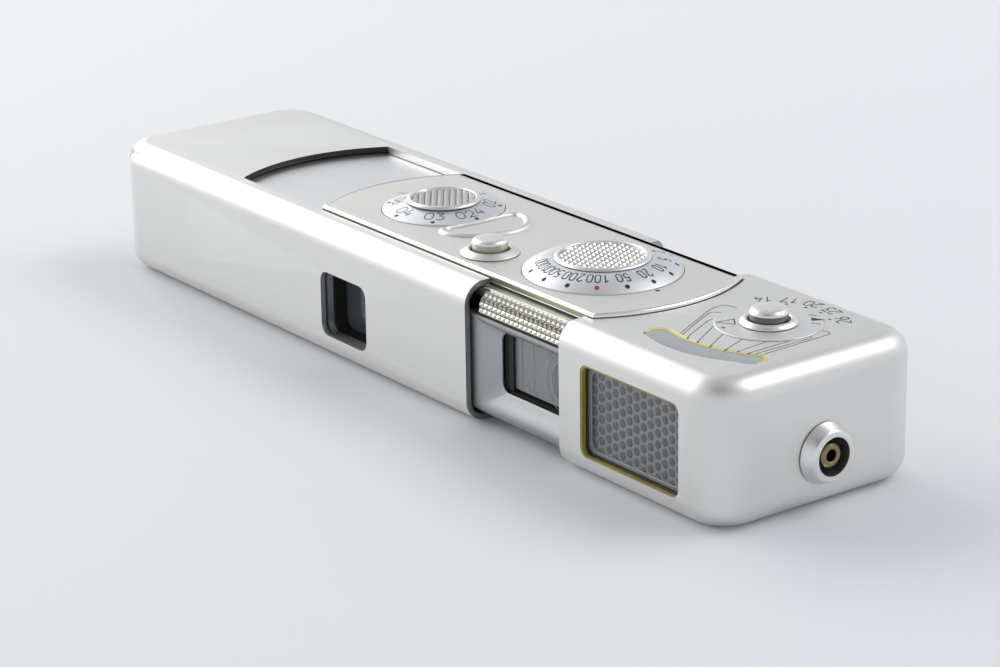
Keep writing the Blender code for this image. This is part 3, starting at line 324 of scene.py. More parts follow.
def soften(made, width):
    bevel = made.modifiers.new("edges", "BEVEL")
    bevel.width = width * MM
    bevel.segments = 2
    bevel.limit_method = "ANGLE"
    bevel.angle_limit = math.radians(50)
    bevel.use_clamp_overlap = True
    return made


def bridge(bm, first, second):
    """Faces between two rings of the same number of points."""
    for i in range(len(first)):
        k = (i + 1) % len(first)
        bm.faces.new((first[i], first[k], second[k], second[i]))


def pyramid(bm, ring, outward, height, flat, groove, groove_rise):
    """A small pyramid on a four-sided base: a groove round its foot, sloping sides and a flat crest."""
    centre = sum((corner.co for corner in ring), Vector()) / len(ring)
    crest = [bm.verts.new(centre.lerp(corner.co, flat) + outward * height * MM) for corner in ring]
    foot = [bm.verts.new(corner.co.lerp(centre, groove) + outward * groove_rise * MM) for corner in ring]
    for k in range(4):
        after = (k + 1) % 4
        bm.faces.new((ring[k], ring[after], foot[after], foot[k])).material_index = 1
        bm.faces.new((foot[k], foot[after], crest[after], crest[k]))
    bm.faces.new(crest)


def cover(bm, rings, closed):
    """Faces along a row of rings, which is closed into a loop or capped at its ends."""
    pairs = list(zip(rings, rings[1:])) + ([(rings[-1], rings[0])] if closed else [])
    for first, second in pairs:
        bridge(bm, first, second)
    if not closed:
        bm.faces.new(rings[0])
        bm.faces.new(rings[-1])


def loft(name, rings, close=False):
    """A surface through rings of the same number of points (mm), each a closed loop."""
    bm = bmesh.new()
    rows = [[bm.verts.new([value * MM for value in point]) for point in ring] for ring in rings]
    cover(bm, rows, close)
    return from_bmesh(name, bm)


def bar_outline(x_low, x_high, half, corner_left, corner_right, steps=18):
    """Plan points with their outward normals, anticlockwise."""
    made = []
    corners_at = ((x_high, 1, -1, corner_right, 270), (x_high, 1, 1, corner_right, 0),
                  (x_low, -1, 1, corner_left, 90), (x_low, -1, -1, corner_left, 180))
    for x, side_x, side_y, radius, start in corners_at:
        if not radius:
            made.append((x, side_y * half, 0, side_y))
            continue
        cx, cy = x - side_x * radius, side_y * (half - radius)
        for i in range(steps + 1):
            a = math.radians(start + 90 * i / steps)
            made.append((cx + radius * math.cos(a), cy + radius * math.sin(a), math.cos(a), math.sin(a)))
    return made


def rounded_bar(name, x_low, x_high, half, z_low, z_high, edge, corner_left=0, corner_right=0,
                end_share=1.0, edge_steps=12):
    """A bar along X with rounded long edges. An end with a plan corner radius is rounded all round."""
    outline = bar_outline(x_low, x_high, half, corner_left, corner_right)
    reach = [edge * (1 + (end_share - 1) * nx ** 2) for x, y, nx, ny in outline]
    levels = [(i, -1) for i in range(edge_steps + 1)] + [(edge_steps - i, 1) for i in range(edge_steps + 1)]
    rings = []
    for i, side in levels:
        a = math.pi / 2 * i / edge_steps
        ring = []
        for (x, y, nx, ny), r in zip(outline, reach):
            inset = r * (1 - math.sin(a))
            z = z_high - r * (1 - math.cos(a)) if side > 0 else z_low + r * (1 - math.cos(a))
            ring.append((x - nx * inset, y - ny * inset, z))
        rings.append(ring)
    return loft(name, rings)


# ---------------------------------------------------------------- materials
def shader_of(name):
    made = bpy.data.materials.new(name)
    made.use_nodes = True
    return made, made.node_tree, made.node_tree.nodes["Principled BSDF"]


def noise(tree, scale, detail=2.0, stretch=None):
    place = tree.nodes.new("ShaderNodeTexCoord")
    made = tree.nodes.new("ShaderNodeTexNoise")
    made.inputs["Scale"].default_value = scale
    made.inputs["Detail"].default_value = detail
    source = place.outputs["Object"]
    if stretch:
        mapping = tree.nodes.new("ShaderNodeMapping")
        mapping.inputs["Scale"].default_value = stretch
        tree.links.new(source, mapping.inputs["Vector"])
        source = mapping.outputs["Vector"]
    tree.links.new(source, made.inputs["Vector"])
    return made.outputs["Fac"]


def span(tree, source, low, high, to_low, to_high):
    made = tree.nodes.new("ShaderNodeMapRange")
    for label, value in (("From Min", low), ("From Max", high), ("To Min", to_low), ("To Max", to_high)):
        made.inputs[label].default_value = value
    tree.links.new(source, made.inputs["Value"])
    return made.outputs["Result"]


def mix(tree, share, first, second):
    made = tree.nodes.new("ShaderNodeMix")
    made.data_type = "RGBA"
    tree.links.new(share, made.inputs["Factor"])
    for value, socket in ((first, made.inputs[6]), (second, made.inputs[7])):
        if isinstance(value, tuple):
            socket.default_value = (*value, 1.0)
        else:
            tree.links.new(value, socket)
    return made.outputs[2]


def times(tree, first, second, operation="MULTIPLY"):
    made = tree.nodes.new("ShaderNodeMath")
    made.operation = operation
    made.use_clamp = True
    tree.links.new(first, made.inputs[0])
    tree.links.new(second, made.inputs[1])
    return made.outputs[0]


def crevice(tree, reach):
    """How deep in a seam a point lies: 0 in the open, 1 at the bottom."""
    made = tree.nodes.new("ShaderNodeAmbientOcclusion")
    made.samples = 8
    made.inputs["Distance"].default_value = reach * MM
    return span(tree, made.outputs["AO"], 0.35, 0.85, 1.0, 0.0)


def finish(name, color, roughness, metallic=1.0, grain=0.0, grain_size=0.25, patches=0.03, worn=0.0,
           grime_and_shade=0.0, grime_and_shade_reach=0.5, grime_and_shade_color=(0.20, 0.17, 0.06), stretch=None, ior=1.5,
           transmission=0.0, coat=0.0):
    """A surface with a fine grain, uneven sheen, lighter worn edges, and dirt with painted shade darkening
    its seams.
    """
    made, tree, shader = shader_of(name)
    shader.inputs["Metallic"].default_value = metallic
    shader.inputs["IOR"].default_value = ior
    shader.inputs["Transmission Weight"].default_value = transmission
    shader.inputs["Coat Weight"].default_value = coat
    patchy = noise(tree, 0.09 / MM, 3.0)
    fine = noise(tree, 1.0 / (grain_size * MM), 3.0, stretch)
    dark = tuple(channel * (1 - patches) for channel in color)
    paint = mix(tree, span(tree, patchy, 0.35, 0.65, 0.0, 1.0), color, dark)
    if grain:
        speck = tuple(channel * 0.93 for channel in color)
        paint = mix(tree, span(tree, fine, 0.45, 0.75, 0.0, 0.8), paint, speck)
    if worn:
        curve = tree.nodes.new("ShaderNodeNewGeometry")
        edge = span(tree, curve.outputs["Pointiness"], 0.51, 0.58, 0.0, worn)
        bright = tuple(min(1.0, channel * 1.12 + 0.04) for channel in color)
        paint = mix(tree, times(tree, edge, span(tree, fine, 0.3, 0.6, 0.3, 1.0)), paint, bright)
    rough = span(tree, patchy, 0.3, 0.7, roughness * 0.93, roughness * 1.07)
    # dirt and painted shade: the colour turns towards the seam colour where ambient occlusion finds a seam
    if grime_and_shade:
        dirt_and_shade = times(tree, crevice(tree, grime_and_shade_reach), span(tree, fine, 0.25, 0.6, 0.5 * grime_and_shade, grime_and_shade))
        paint = mix(tree, dirt_and_shade, paint, grime_and_shade_color)
        rough = times(tree, rough, span(tree, dirt_and_shade, 0.0, 1.0, 0.0, 0.4), "ADD")
    tree.links.new(paint, shader.inputs["Base Color"])
    tree.links.new(rough, shader.inputs["Roughness"])
    if grain:
        bump = tree.nodes.new("ShaderNodeBump")
        bump.inputs["Strength"].default_value = grain
        bump.inputs["Distance"].default_value = 0.02 * MM
        tree.links.new(fine, bump.inputs["Height"])
        tree.links.new(bump.outputs["Normal"], shader.inputs["Normal"])
    return made


SHELL = (0.79, 0.785, 0.765)
PAINTS = {
    "shell": finish("blasted_aluminium", SHELL, 0.46, grain=0.4, grain_size=0.16, worn=0.4),
    "chassis": finish("satin_aluminium", (0.84, 0.85, 0.85), 0.40, grain=0.2, grain_size=0.12,
                      grime_and_shade=0.55, grime_and_shade_reach=0.7),
    # the raw metal colour, also used as painted shade inside the sleeve and at the front of its mouth
    "raw_edge_and_shade": finish("cut_aluminium_and_shade", (0.36, 0.37, 0.36), 0.45, grain=0.5, grain_size=0.2),
    "plate": finish("matt_plate", (0.80, 0.79, 0.755), 0.5, grain=0.6, grain_size=0.14, patches=0.02),
    "rim": finish("polished_edge", (0.92, 0.915, 0.89), 0.26, grain=0.1, grain_size=0.3, grime_and_shade=0.4,
                  grime_and_shade_reach=0.3),
    "grimy": finish("grimy_wall", (0.45, 0.42, 0.30), 0.5, grain=0.8, grain_size=0.3, patches=0.5, grime_and_shade=1.0,
                    grime_and_shade_reach=0.9, grime_and_shade_color=(0.30, 0.25, 0.07)),
    "meter_disc": finish("meter_disc", (0.80, 0.80, 0.79), 0.46, grain=0.3, grain_size=0.12, patches=0.02),
    # a dark copy of the knob's satin: painted shade on the knob's lower wall
    "neck_shade": finish("shaded_neck", (0.20, 0.195, 0.18), 0.38, grain=0.2, patches=0.1),
    "dial": finish("dial_face", (0.76, 0.77, 0.785), 0.5, grain=0.25, grain_size=0.1, grime_and_shade=0.5,
                   grime_and_shade_reach=0.3),
    "knob": finish("bright_ring", (0.86, 0.86, 0.86), 0.34, grain=0.08, grain_size=0.4),
    "knurl": finish("knurled_top", (0.66, 0.66, 0.63), 0.34, grime_and_shade=0.4, grime_and_shade_reach=0.3, worn=0.3,
                    grime_and_shade_color=(0.30, 0.27, 0.14)),
    "knurl_groove": finish("knurl_groove", (0.26, 0.25, 0.19), 0.5, patches=0.3, grain=0.3, grime_and_shade=0.6,
                           grime_and_shade_reach=0.3),
    "bar": finish("knurled_bar", (0.62, 0.61, 0.55), 0.28, grime_and_shade=0.6, grime_and_shade_reach=0.4, worn=0.5,
                  grime_and_shade_color=(0.17, 0.15, 0.05)),
    "bar_groove": finish("bar_groove", (0.20, 0.18, 0.08), 0.5, patches=0.4, grain=0.5, grime_and_shade=0.8,
                         grime_and_shade_reach=0.4),
    "gasket": finish("cell_gasket", (0.075, 0.07, 0.055), 0.5, metallic=0.0, patches=0.35, grain=0.4),
    "lip": finish("counter_lip", (0.76, 0.75, 0.72), 0.5, grain=0.4, grain_size=0.15, grime_and_shade=0.5),
    # a darker grey painted on the counter pocket's floor as shade
    "pocket": finish("counter_pocket_shade", (0.42, 0.41, 0.37), 0.5, grain=0.4, grain_size=0.2, grime_and_shade=0.7),
    # a darker copy of the button's satin: painted shade on its side
    "button_side_shade": finish("button_side_shade", (0.50, 0.485, 0.42), 0.42, grain=0.3, grain_size=0.2, grime_and_shade=0.7),
    "button": finish("button_satin", (0.87, 0.865, 0.84), 0.36, grain=0.3, grain_size=0.15, worn=0.5,
                     grime_and_shade=0.6, grime_and_shade_reach=0.3),
    "frost": finish("frosted_bezel", (0.46, 0.475, 0.48), 0.5, grain=1.4, grain_size=0.3, worn=0.3,
                    grime_and_shade=0.5, grime_and_shade_reach=0.6),
    # the near-black seam colour is painted shade in the socket's bore and round its foot
    "collar": finish("socket_satin", (0.82, 0.82, 0.80), 0.34, grain=0.15, grain_size=0.2, grime_and_shade=0.7,
                     grime_and_shade_reach=0.3, grime_and_shade_color=(0.08, 0.08, 0.05)),
    "ink": finish("engraving_fill", (0.015, 0.015, 0.017), 0.55, metallic=0.0, patches=0.3, grain=0.3),
    "fan_ink": finish("fan_line_fill", (0.09, 0.085, 0.075), 0.6, metallic=0.0, patches=0.4, grain=0.3),
    "red": finish("red_fill", (0.55, 0.03, 0.02), 0.4, metallic=0.0, patches=0.15, grain=0.2),
    "gold": finish("brown_fill", (0.25, 0.18, 0.03), 0.5, metallic=0.0, patches=0.2, grain=0.2),
    "amber": finish("aged_sealant", (0.42, 0.34, 0.05), 0.4, metallic=0.0, patches=0.35, grain=0.6,
                    grain_size=0.5),
    "yellow": finish("yellow_sealant", (0.78, 0.66, 0.08), 0.3, metallic=0.0, patches=0.25, grain=0.3,
                     grain_size=0.6, coat=0.4),
    "pane": finish("meter_pane", (0.34, 0.35, 0.36), 0.12, metallic=0.0, patches=0.12, grain=0.1,
                   grain_size=1.2, coat=0.5),
    "cell_rib": finish("cell_grille", (0.22, 0.235, 0.25), 0.3, metallic=0.0, patches=0.15, grain=0.4,
                       grain_size=0.3, coat=0.5),
    "cell_dot": finish("cell_lenses", (0.10, 0.105, 0.105), 0.18, metallic=0.0, patches=0.25, grain=0.4,
                       grain_size=0.3, coat=0.5),
    "window": finish("coated_window", (0.09, 0.105, 0.12), 0.06, metallic=0.0, patches=0.15, ior=1.7,
                     grain=0.05, grain_size=1.5),
    "glass": finish("finder_glass", (0.60, 0.63, 0.64), 0.12, metallic=0.0, patches=0.05,
                    transmission=0.6, grain=0.05, grain_size=1.5),
    "glass_edge": finish("bright_glass_edge", (0.42, 0.45, 0.46), 0.4, metallic=0.0, patches=0.4, grain=0.6,
                         coat=0.5),
    "black": finish("matt_black", (0.012, 0.012, 0.011), 0.55, metallic=0.0, patches=0.3, grain=0.5,
                    grain_size=0.2),
    "black_metal": finish("blackened_metal", (0.05, 0.05, 0.052), 0.4, patches=0.3, grain=0.4,
                          grain_size=0.15),
    "brass": finish("worn_brass", (0.62, 0.47, 0.22), 0.3, patches=0.2, grain=0.3, grime_and_shade=0.5),
    # brass darkened, with near-black seams, as painted shade inside the flash socket
    "brass_in_shade": finish("brass_darkened_as_shade", (0.30, 0.25, 0.13), 0.35, patches=0.4, grain=0.6, grime_and_shade=0.6,
                         grime_and_shade_color=(0.03, 0.03, 0.02)),
    "steel": finish("plain_steel", (0.50, 0.50, 0.51), 0.3, patches=0.12, grain=0.3,
                    stretch=(1, 1, 6)),
    "film": finish("film_base", (0.10, 0.06, 0.05), 0.2, metallic=0.0, patches=0.1, grain=0.1),
    "filter": finish("green_filter", (0.25, 0.42, 0.12), 0.05, metallic=0.0, patches=0.05,
                     transmission=0.7, grain=0.05),
}


def show(made, paint, node, body="camera_body", angle=32):
    """Finishes a piece: its material, its smooth faces and its body; node is not used."""
    if not made.data.materials:
        made.data.materials.append(PAINTS[paint])
    made.data.shade_smooth()
    made.data.set_sharp_from_angle(angle=math.radians(angle))
    even = made.modifiers.new("normals", "WEIGHTED_NORMAL")
    even.keep_sharp = True
    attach(made, body)
    return made


def stand_in(made, paint, node, body="camera_body", angle=32):
    """A finished piece that is seen in place of its node."""
    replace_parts(show(made, paint, node, body, angle), node)


def repaint(made, paints, chosen):
    """Gives a piece several materials; chosen picks one for a face, from its centre and its normal."""
    for paint in paints:
        made.data.materials.append(PAINTS[paint])
    for face in made.data.polygons:
        face.material_index = chosen(*(value / MM for value in face.center), face.normal)
    return made


# ---------------------------------------------------------------- the two shells
GUIDE_WIDTH, GUIDE_GAP = 0.45, 0.08     # a guide under each long edge of the sleeve's cut-out


def make_sleeve():
    made = rounded_bar("sleeve_shell", LEFT_END, SLEEVE_RIGHT, HALF_WIDTH, 0, HEIGHT, LONG_EDGE,
                       corner_left=LEFT_CORNER, end_share=END_EDGE)
    hollow = rounded_bar("sleeve_hollow", LEFT_END + WALL, SLEEVE_RIGHT + 5, HALF_WIDTH - WALL, WALL,
                         HEIGHT - WALL, LONG_EDGE - WALL, corner_left=LEFT_CORNER - WALL,
                         end_share=END_EDGE)
    combine(made, hollow)
    left = PLATE_LEFT - TRAVEL - SLIDE_GAP
    opening = [(SLEEVE_RIGHT + 3, -CUTOUT_HALF), (SLEEVE_RIGHT + 3, CUTOUT_HALF)]
    opening += bowed_end(left, CUTOUT_HALF, PLATE_ARC, 48, -1)
    cut(made, opening, HEIGHT - WALL - CUT, HEIGHT + CUT)
    cut(made, lens_opening(), -HALF_WIDTH - CUT, -HALF_WIDTH + WALL + 0.5, "XZ")
    soften(made, 0.1)
    made = bake(made)

    def paint_of(x, y, z, normal):
        """The outside is bright; the inside and the mouth's front and bottom get the dark raw colour, also as
        painted shade; the arc's wall is painted black as the shadow in the cut-out's crescent.
        """
        # the arc's wall is painted black as the shadow in the cut-out's crescent
        if z > HEIGHT - WALL - 0.1 and x < left + 0.1 and normal.x > 0.3 and normal.z < 0.5:
            return 2
        # the inside and the mouth's front and bottom take the dark raw colour, which is also painted shade;
        # the mouth's back stays bright
        inside = abs(y) < HALF_WIDTH - WALL + HAIR and WALL - HAIR < z < HEIGHT - WALL + HAIR
        at_mouth = x > SLEEVE_RIGHT - HAIR and normal.x > 0.9 and (y < 0 or z < 3)
        return 1 if at_mouth or (inside and x > LEFT_END + WALL - HAIR) else 0

    repaint(made, ("shell", "raw_edge_and_shade", "black_metal"), paint_of)
    stand_in(made, "shell", "sleeve", "sleeve")
    for side in (-1, 1):
        near, far = sorted((side * CUTOUT_HALF, side * (CUTOUT_HALF + GUIDE_WIDTH)))
        guide = box("sleeve_guide", (left, near, CHASSIS_TOP + GUIDE_GAP),
                    (SLEEVE_RIGHT - 0.05, far, HEIGHT - WALL + 0.1))
        show(guide, "shell", "sleeve", "sleeve")


def make_housing():
    made = rounded_bar("housing_shell", HOUSING_LEFT, RIGHT_END, HALF_WIDTH, 0, HEIGHT, LONG_EDGE,
                       corner_right=RIGHT_CORNER)
    hollow = rounded_bar("housing_hollow", HOUSING_LEFT - 5, RIGHT_END - WALL, HALF_WIDTH - WALL,
                         WALL, HEIGHT - WALL, LONG_EDGE - WALL, corner_right=RIGHT_CORNER - WALL)
    combine(made, hollow)
    cut(made, plate_outline(SEAT_GAP), PLATE_BOTTOM - 1.2, HEIGHT + CUT)
    cut(made, cell_opening(), -HALF_WIDTH - CUT, -HALF_WIDTH + WALL + 0.3, "XZ")
    cut(made, window_outline(0), HEIGHT - WALL - CUT, HEIGHT + CUT)
    cut(made, circle(METER_X, METER_Y, 2.3), HEIGHT - WALL - CUT, HEIGHT + CUT)
    combine(made, turned("socket_bore", [(0, 3), (2.5, 3), (2.5, -3), (0, -3)],
                         (RIGHT_END, SOCKET_Y, SOCKET_Z), "X"))
    soften(made, 0.1)
    stand_in(bake(made), "shell", "meter_housing")


# ---------------------------------------------------------------- chassis and covers
def chassis_block(name, x_low, x_high, corner=0):
    return rounded_bar(name, x_low, x_high, CHASSIS_HALF, DOOR_LOW[2], CHASSIS_TOP, CHASSIS_EDGE,
                       corner_left=corner, end_share=END_EDGE)


def make_chassis():
    made = chassis_block("chassis_shell", CHASSIS_LEFT, CHASSIS_RIGHT, CHASSIS_CORNER)
    inside, ceiling = CHASSIS_HALF - CHASSIS_WALL, CHASSIS_TOP - CHASSIS_WALL
    radius = CHASSIS_CORNER - CHASSIS_WALL
    corner_x, corner_y = CHASSIS_LEFT + CHASSIS_CORNER, inside - radius
    right = CHASSIS_RIGHT - CHASSIS_WALL
    pocket = [(right, -inside), (right, inside)]
    pocket += arc(corner_x, corner_y, radius, 90, 180, 14) + arc(corner_x, -corner_y, radius, 180, 270, 14)
    cut(made, pocket, 0, ceiling)
    cut_box(made, (CHASSIS_LEFT - CUT, -HALF_WIDTH, 0), (HOUSING_LEFT, HALF_WIDTH, COVER_TOP + 0.3))
    back = BEZEL_HIGH[1] + FIT
    bezel_left, bar_length = BEZEL_LOW[0] - TUCK - FIT, 26.6
    cut_box(made, (bezel_left, -HALF_WIDTH, 0), (HOUSING_LEFT, back, HEIGHT))
    cut_box(made, (BAR_HIGH[0] - bar_length, -HALF_WIDTH, BEZEL_HIGH[2]), (BEZEL_LOW[0] + CUT, back, HEIGHT))
    cut(made, lens_opening(), -HALF_WIDTH, -inside + 0.5, "XZ")
    low, high = corners("eyepiece_bezel")
    eye = rounded_rectangle(EYE_X, EYE_Z, high[0] - low[0] + 0.3, high[2] - low[2] + 0.3, 1.2)
    cut(made, eye, inside - 0.5, HALF_WIDTH, "XZ")
    low, high = corners("drive_pinion")
    pinion_x, rack_room = middle("drive_pinion", 0), TRAVEL + 5
    cut_box(made, (pinion_x - rack_room, inside - 0.5, low[2] - 0.3),
            (pinion_x + rack_room, HALF_WIDTH, high[2] + 0.3))
    holes = ((1.62, SPEED_X, 0), (1.62, DISTANCE_X, 0), (2.33, RELEASE_X, RELEASE_Y), (1.1, 1.9, 3.85))
    for size, x, y in holes:
        cut(made, circle(x, y, size), ceiling - CUT, HEIGHT)
    stand_in(bake(soften(made, 0.08)), "chassis", "chassis_frame")


def make_covers():
    for name, node, x_low, x_high, corner in (
            ("film_door_skin", "film_door", CHASSIS_LEFT, DOOR_HIGH[0], CHASSIS_CORNER),
            ("bottom_cover_skin", "bottom_cover", COVER_LOW[0], CHASSIS_RIGHT, 0)):
        made = chassis_block(name, x_low, x_high, corner)
        keep = box(name + "_keep", (x_low - CUT, -HALF_WIDTH, 0), (x_high + CUT, HALF_WIDTH, COVER_TOP))
        combine(made, keep, "INTERSECT")
        if node == "bottom_cover":
            cut_box(made, (BEZEL_LOW[0] - TUCK - FIT, -HALF_WIDTH, 0),
                    (HOUSING_LEFT, BEZEL_HIGH[1] + 0.3, HEIGHT))
            for side in (-1, 1):
                cut(made, circle(SCREW_X, side * SCREW_Y, 1.25), 0, COVER_TOP + CUT)
        stand_in(bake(soften(made, 0.06)), "chassis", node)
    for side, node in ((-1, "cover_screw_front"), (1, "cover_screw_back")):
        y = side * SCREW_Y
        profile = soft_profile([(0, 4.2), (0.55, 4.2), (0.55, 1.9), (1.1, 1.45), (1.1, 1.0), (0, 1.0)], 0.06)
        made = turned(node + "_turned", profile, (SCREW_X, y, 0), steps=48)
        cut_box(made, (SCREW_X - 2, y - 0.15, 0), (SCREW_X + 2, y + 0.15, 1.25))
        stand_in(bake(made), "steel", node)


# ---------------------------------------------------------------- dial plate
# the frame counter's pocket
POCKET = smooth_loop([(-0.75, -4.35), (-0.5, -4.85), (0.35, -5.1), (1.3, -4.7), (2.4, -3.65),
                      (3.3, -1.75), (3.85, 0.4), (3.45, 2.3), (2.6, 3.5), (1.2, 4.35), (0.0, 4.5),
                      (-0.4, 3.9), (-0.3, 2.2), (-0.3, -0.7), (-0.55, -2.9)])


def make_plate():
    holes = [circle(SPEED_X, 0, corners("speed_dial_disc")[1][0] - SPEED_X + 0.07, 128),
             circle(DISTANCE_X, 0, corners("distance_dial_disc")[1][0] - DISTANCE_X + 0.07, 128),
             circle(RELEASE_X, RELEASE_Y, 3.05), POCKET]
    made = flat_shape("dial_plate_face", [plate_outline(-RIM_WIDTH + 0.2), *holes], PLATE_BOTTOM,
                      PLATE_FACE, soft=0.05)
    stand_in(made, "plate", "dial_plate")
    rim = flat_shape("dial_plate_rim", [plate_outline(0), plate_outline(-RIM_WIDTH)], PLATE_BOTTOM,
                     PLATE_TOP + 0.02, soft=0.38, soft_steps=6)
    repaint(rim, ("rim", "grimy"), lambda x, y, z, normal: abs(normal.z) < 0.2 and z < HEIGHT + 0.04)
    show(rim, "rim", "dial_plate")


# ---------------------------------------------------------------- engraved marks
def glyph(sign, r):
    """A numeral's strokes in a box one wide and one high; r is its corner height."""
    top, low = 1 - r, r
    shapes = {
        "0": [bend(0.5, top, 0.5, r, 0, 180) + bend(0.5, low, 0.5, r, 180, 360) + [(1, top)]],
        "1": [[(0.12, 0.80), (0.62, 1), (0.62, 0)]],
        "2": [bend(0.5, top, 0.48, r, 170, -25) + [(0.02, 0.0), (1, 0.0)]],
        "3": [[(0.05, 1), (0.95, 1), (0.42, 0.60)] + bend(0.45, 0.3, 0.5, 0.3, 82, -155)],
        "4": [[(0.62, 1), (0.0, 0.3), (1.0, 0.3)], [(0.74, 0.58), (0.74, 0)]],
        "5": [[(0.95, 1), (0.2, 1), (0.12, 0.56)] + bend(0.46, 0.32, 0.5, 0.32, 125, -150)],
        "6": [[(0.8, 1), (0.1, 0.45)] + bend(0.5, 0.3, 0.5, 0.3, 150, -215)],
        "7": [[(0.0, 1), (1, 1), (0.35, 0)]],
        "~": [[(0.5 + 0.75 * math.cos(a) / (1 + math.sin(a) ** 2),
                0.5 + 0.55 * math.sin(a) * math.cos(a) / (1 + math.sin(a) ** 2))
               for a in (math.radians(10 * i) for i in range(37))]],
    }
    return shapes[sign]


def fine_line(points, step=0.2):
    """The same line with points no further apart than a step, so that it can follow a curved face."""
    made = [points[0]]
    for start, stop in zip(points, points[1:]):
        count = max(1, math.ceil(math.dist(start, stop) / step))
        made += [tuple(Vector(start).lerp(Vector(stop), i / count)) for i in range(1, count + 1)]
    return made


def ring_text(text, cx, cy, radius, angle, height, width, gap, tops_out):
    """Strokes of a number set round a centre, at an angle in degrees."""
    strokes = []
    total = len(text) * width + (len(text) - 1) * gap
    for index, sign in enumerate(text):
        along = -total / 2 + width / 2 + index * (width + gap)
        turn = -1 if tops_out else 1
        here = math.radians(angle) + turn * along / radius
        outward = Vector((math.cos(here), math.sin(here)))
        up = outward if tops_out else -outward
        right = Vector((up.y, -up.x))
        centre = Vector((cx, cy)) + outward * radius
        for stroke in glyph(sign, width / (2 * height)):
            strokes.append(fine_line([tuple(centre + right * (x - 0.5) * width + up * (y - 0.5) * height)
                                      for x, y in stroke]))
    return strokes


LIFT, SINK = 0.012, 0.05        # an inlay's top and bottom, from the surface


def ribbon(bm, points, width, surface):
    """A narrow inlaid stroke that follows a surface."""
    closed = math.dist(points[0], points[-1]) < 1e-6
    points = points[:-1] if closed else points
    rings = []
    for i, (x, y) in enumerate(points):
        before = points[i - 1] if closed or i else points[i]
        after = points[(i + 1) % len(points)] if closed or i + 1 < len(points) else points[i]
        back, on = Vector((x, y)) - Vector(before), Vector(after) - Vector((x, y))
        heading = (back.normalized() + on.normalized())
        heading = heading.normalized() if heading.length > 1e-6 else on.normalized()
        side = Vector((-heading.y, heading.x)) * width / 2
        if back.length and on.length:
            side /= max(0.5, math.sqrt((1 + back.normalized().dot(on.normalized())) / 2))
        ring = []
        for sign, rise in ((1, LIFT), (-1, LIFT), (-1, -SINK), (1, -SINK)):
            px, py = x + sign * side.x, y + sign * side.y
            ring.append(bm.verts.new((px * MM, py * MM, (surface(px, py) + rise) * MM)))
        rings.append(ring)
    cover(bm, rings, closed)


def inlay(bm, outline, surface):
    """A filled mark, such as a dot."""
    top = [bm.verts.new((x * MM, y * MM, (surface(x, y) + LIFT) * MM)) for x, y in outline]
    low = [bm.verts.new((x * MM, y * MM, (surface(x, y) - SINK) * MM)) for x, y in outline]
    bm.faces.new(top)
    bm.faces.new(low)
    bridge(bm, top, low)


def level(height):
    """The height of a flat face at any place on it."""
    return lambda x, y: height


def marks(name, strokes, width, fills, surface, body, paint, slot):
    """Strokes and filled outlines set into a surface, as one piece."""
    bm = bmesh.new()
    for stroke in strokes:
        ribbon(bm, stroke, width, surface)
    for outline in fills:
        inlay(bm, outline, surface)
    show(from_bmesh(name, bm), paint, slot, body)


def polar(cx, cy, radius, angle):
    return (cx + radius * math.cos(math.radians(angle)), cy + radius * math.sin(math.radians(angle)))


# ---------------------------------------------------------------- knurls
def knurl_disc(name, cx, cy, radius, top, pitch, height, grooves):
    """A round top covered with small pyramids, between two families of grooves at two angles."""
    u, v = (Vector((math.cos(math.radians(angle)), math.sin(math.radians(angle)))) for angle in grooves)
    step = pitch / abs(u.x * v.y - u.y * v.x)
    reach = int(radius / pitch) + 3
    bm = bmesh.new()
    grid = {}
    for i in range(-reach, reach + 1):
        for j in range(-reach, reach + 1):
            place = u * step * i + v * step * j
            grid[i, j] = bm.verts.new(((cx + place.x) * MM, (cy + place.y) * MM, (top - height) * MM))
    for i in range(-reach, reach):
        for j in range(-reach, reach):
            ring = [grid[i, j], grid[i + 1, j], grid[i + 1, j + 1], grid[i, j + 1]]
            pyramid(bm, ring, Vector((0, 0, 1)), height, flat=0.1, groove=0.2, groove_rise=0.03)
    edge = [e for e in bm.edges if e.is_boundary]
    drop = bmesh.ops.extrude_edge_only(bm, edges=edge)
    walls = [g for g in drop["geom"] if isinstance(g, bmesh.types.BMVert)]
    for vert in walls:
        vert.co.z -= 0.3 * MM
    bmesh.ops.contextual_create(bm, geom=[g for g in drop["geom"] if isinstance(g, bmesh.types.BMEdge)
                                          and g.is_boundary])
    made = from_bmesh(name, bm)
    made.data.materials.append(PAINTS["knurl"])
    made.data.materials.append(PAINTS["knurl_groove"])
    keep = turned(name + "_keep", [(0, 1), (radius, 1), (radius, -height - 0.2), (0, -height - 0.2)],
                  (cx, cy, top))
    combine(made, keep, "INTERSECT")
    return bake(made)


# ---------------------------------------------------------------- dials
def cone(cx, cy, knob_radius, crown, radius, edge, bulge):
    """Height of a dial's sloping face, swollen by a bulge above the straight cone."""
    def surface(x, y):
        share = (radius - math.hypot(x - cx, y - cy)) / (radius - knob_radius)
        share = min(1.0, max(0.0, share))
        return edge + (crown - edge) * share + bulge * math.sin(math.pi * share)
    return surface


KNURL_HEIGHT = 0.2
DIAL_EDGE = 16.52               # top of a dial's outer edge
DIAL_BORE, KNOB_SHAFT, SHAFT_FOOT = 1.75, 1.5, 13.75


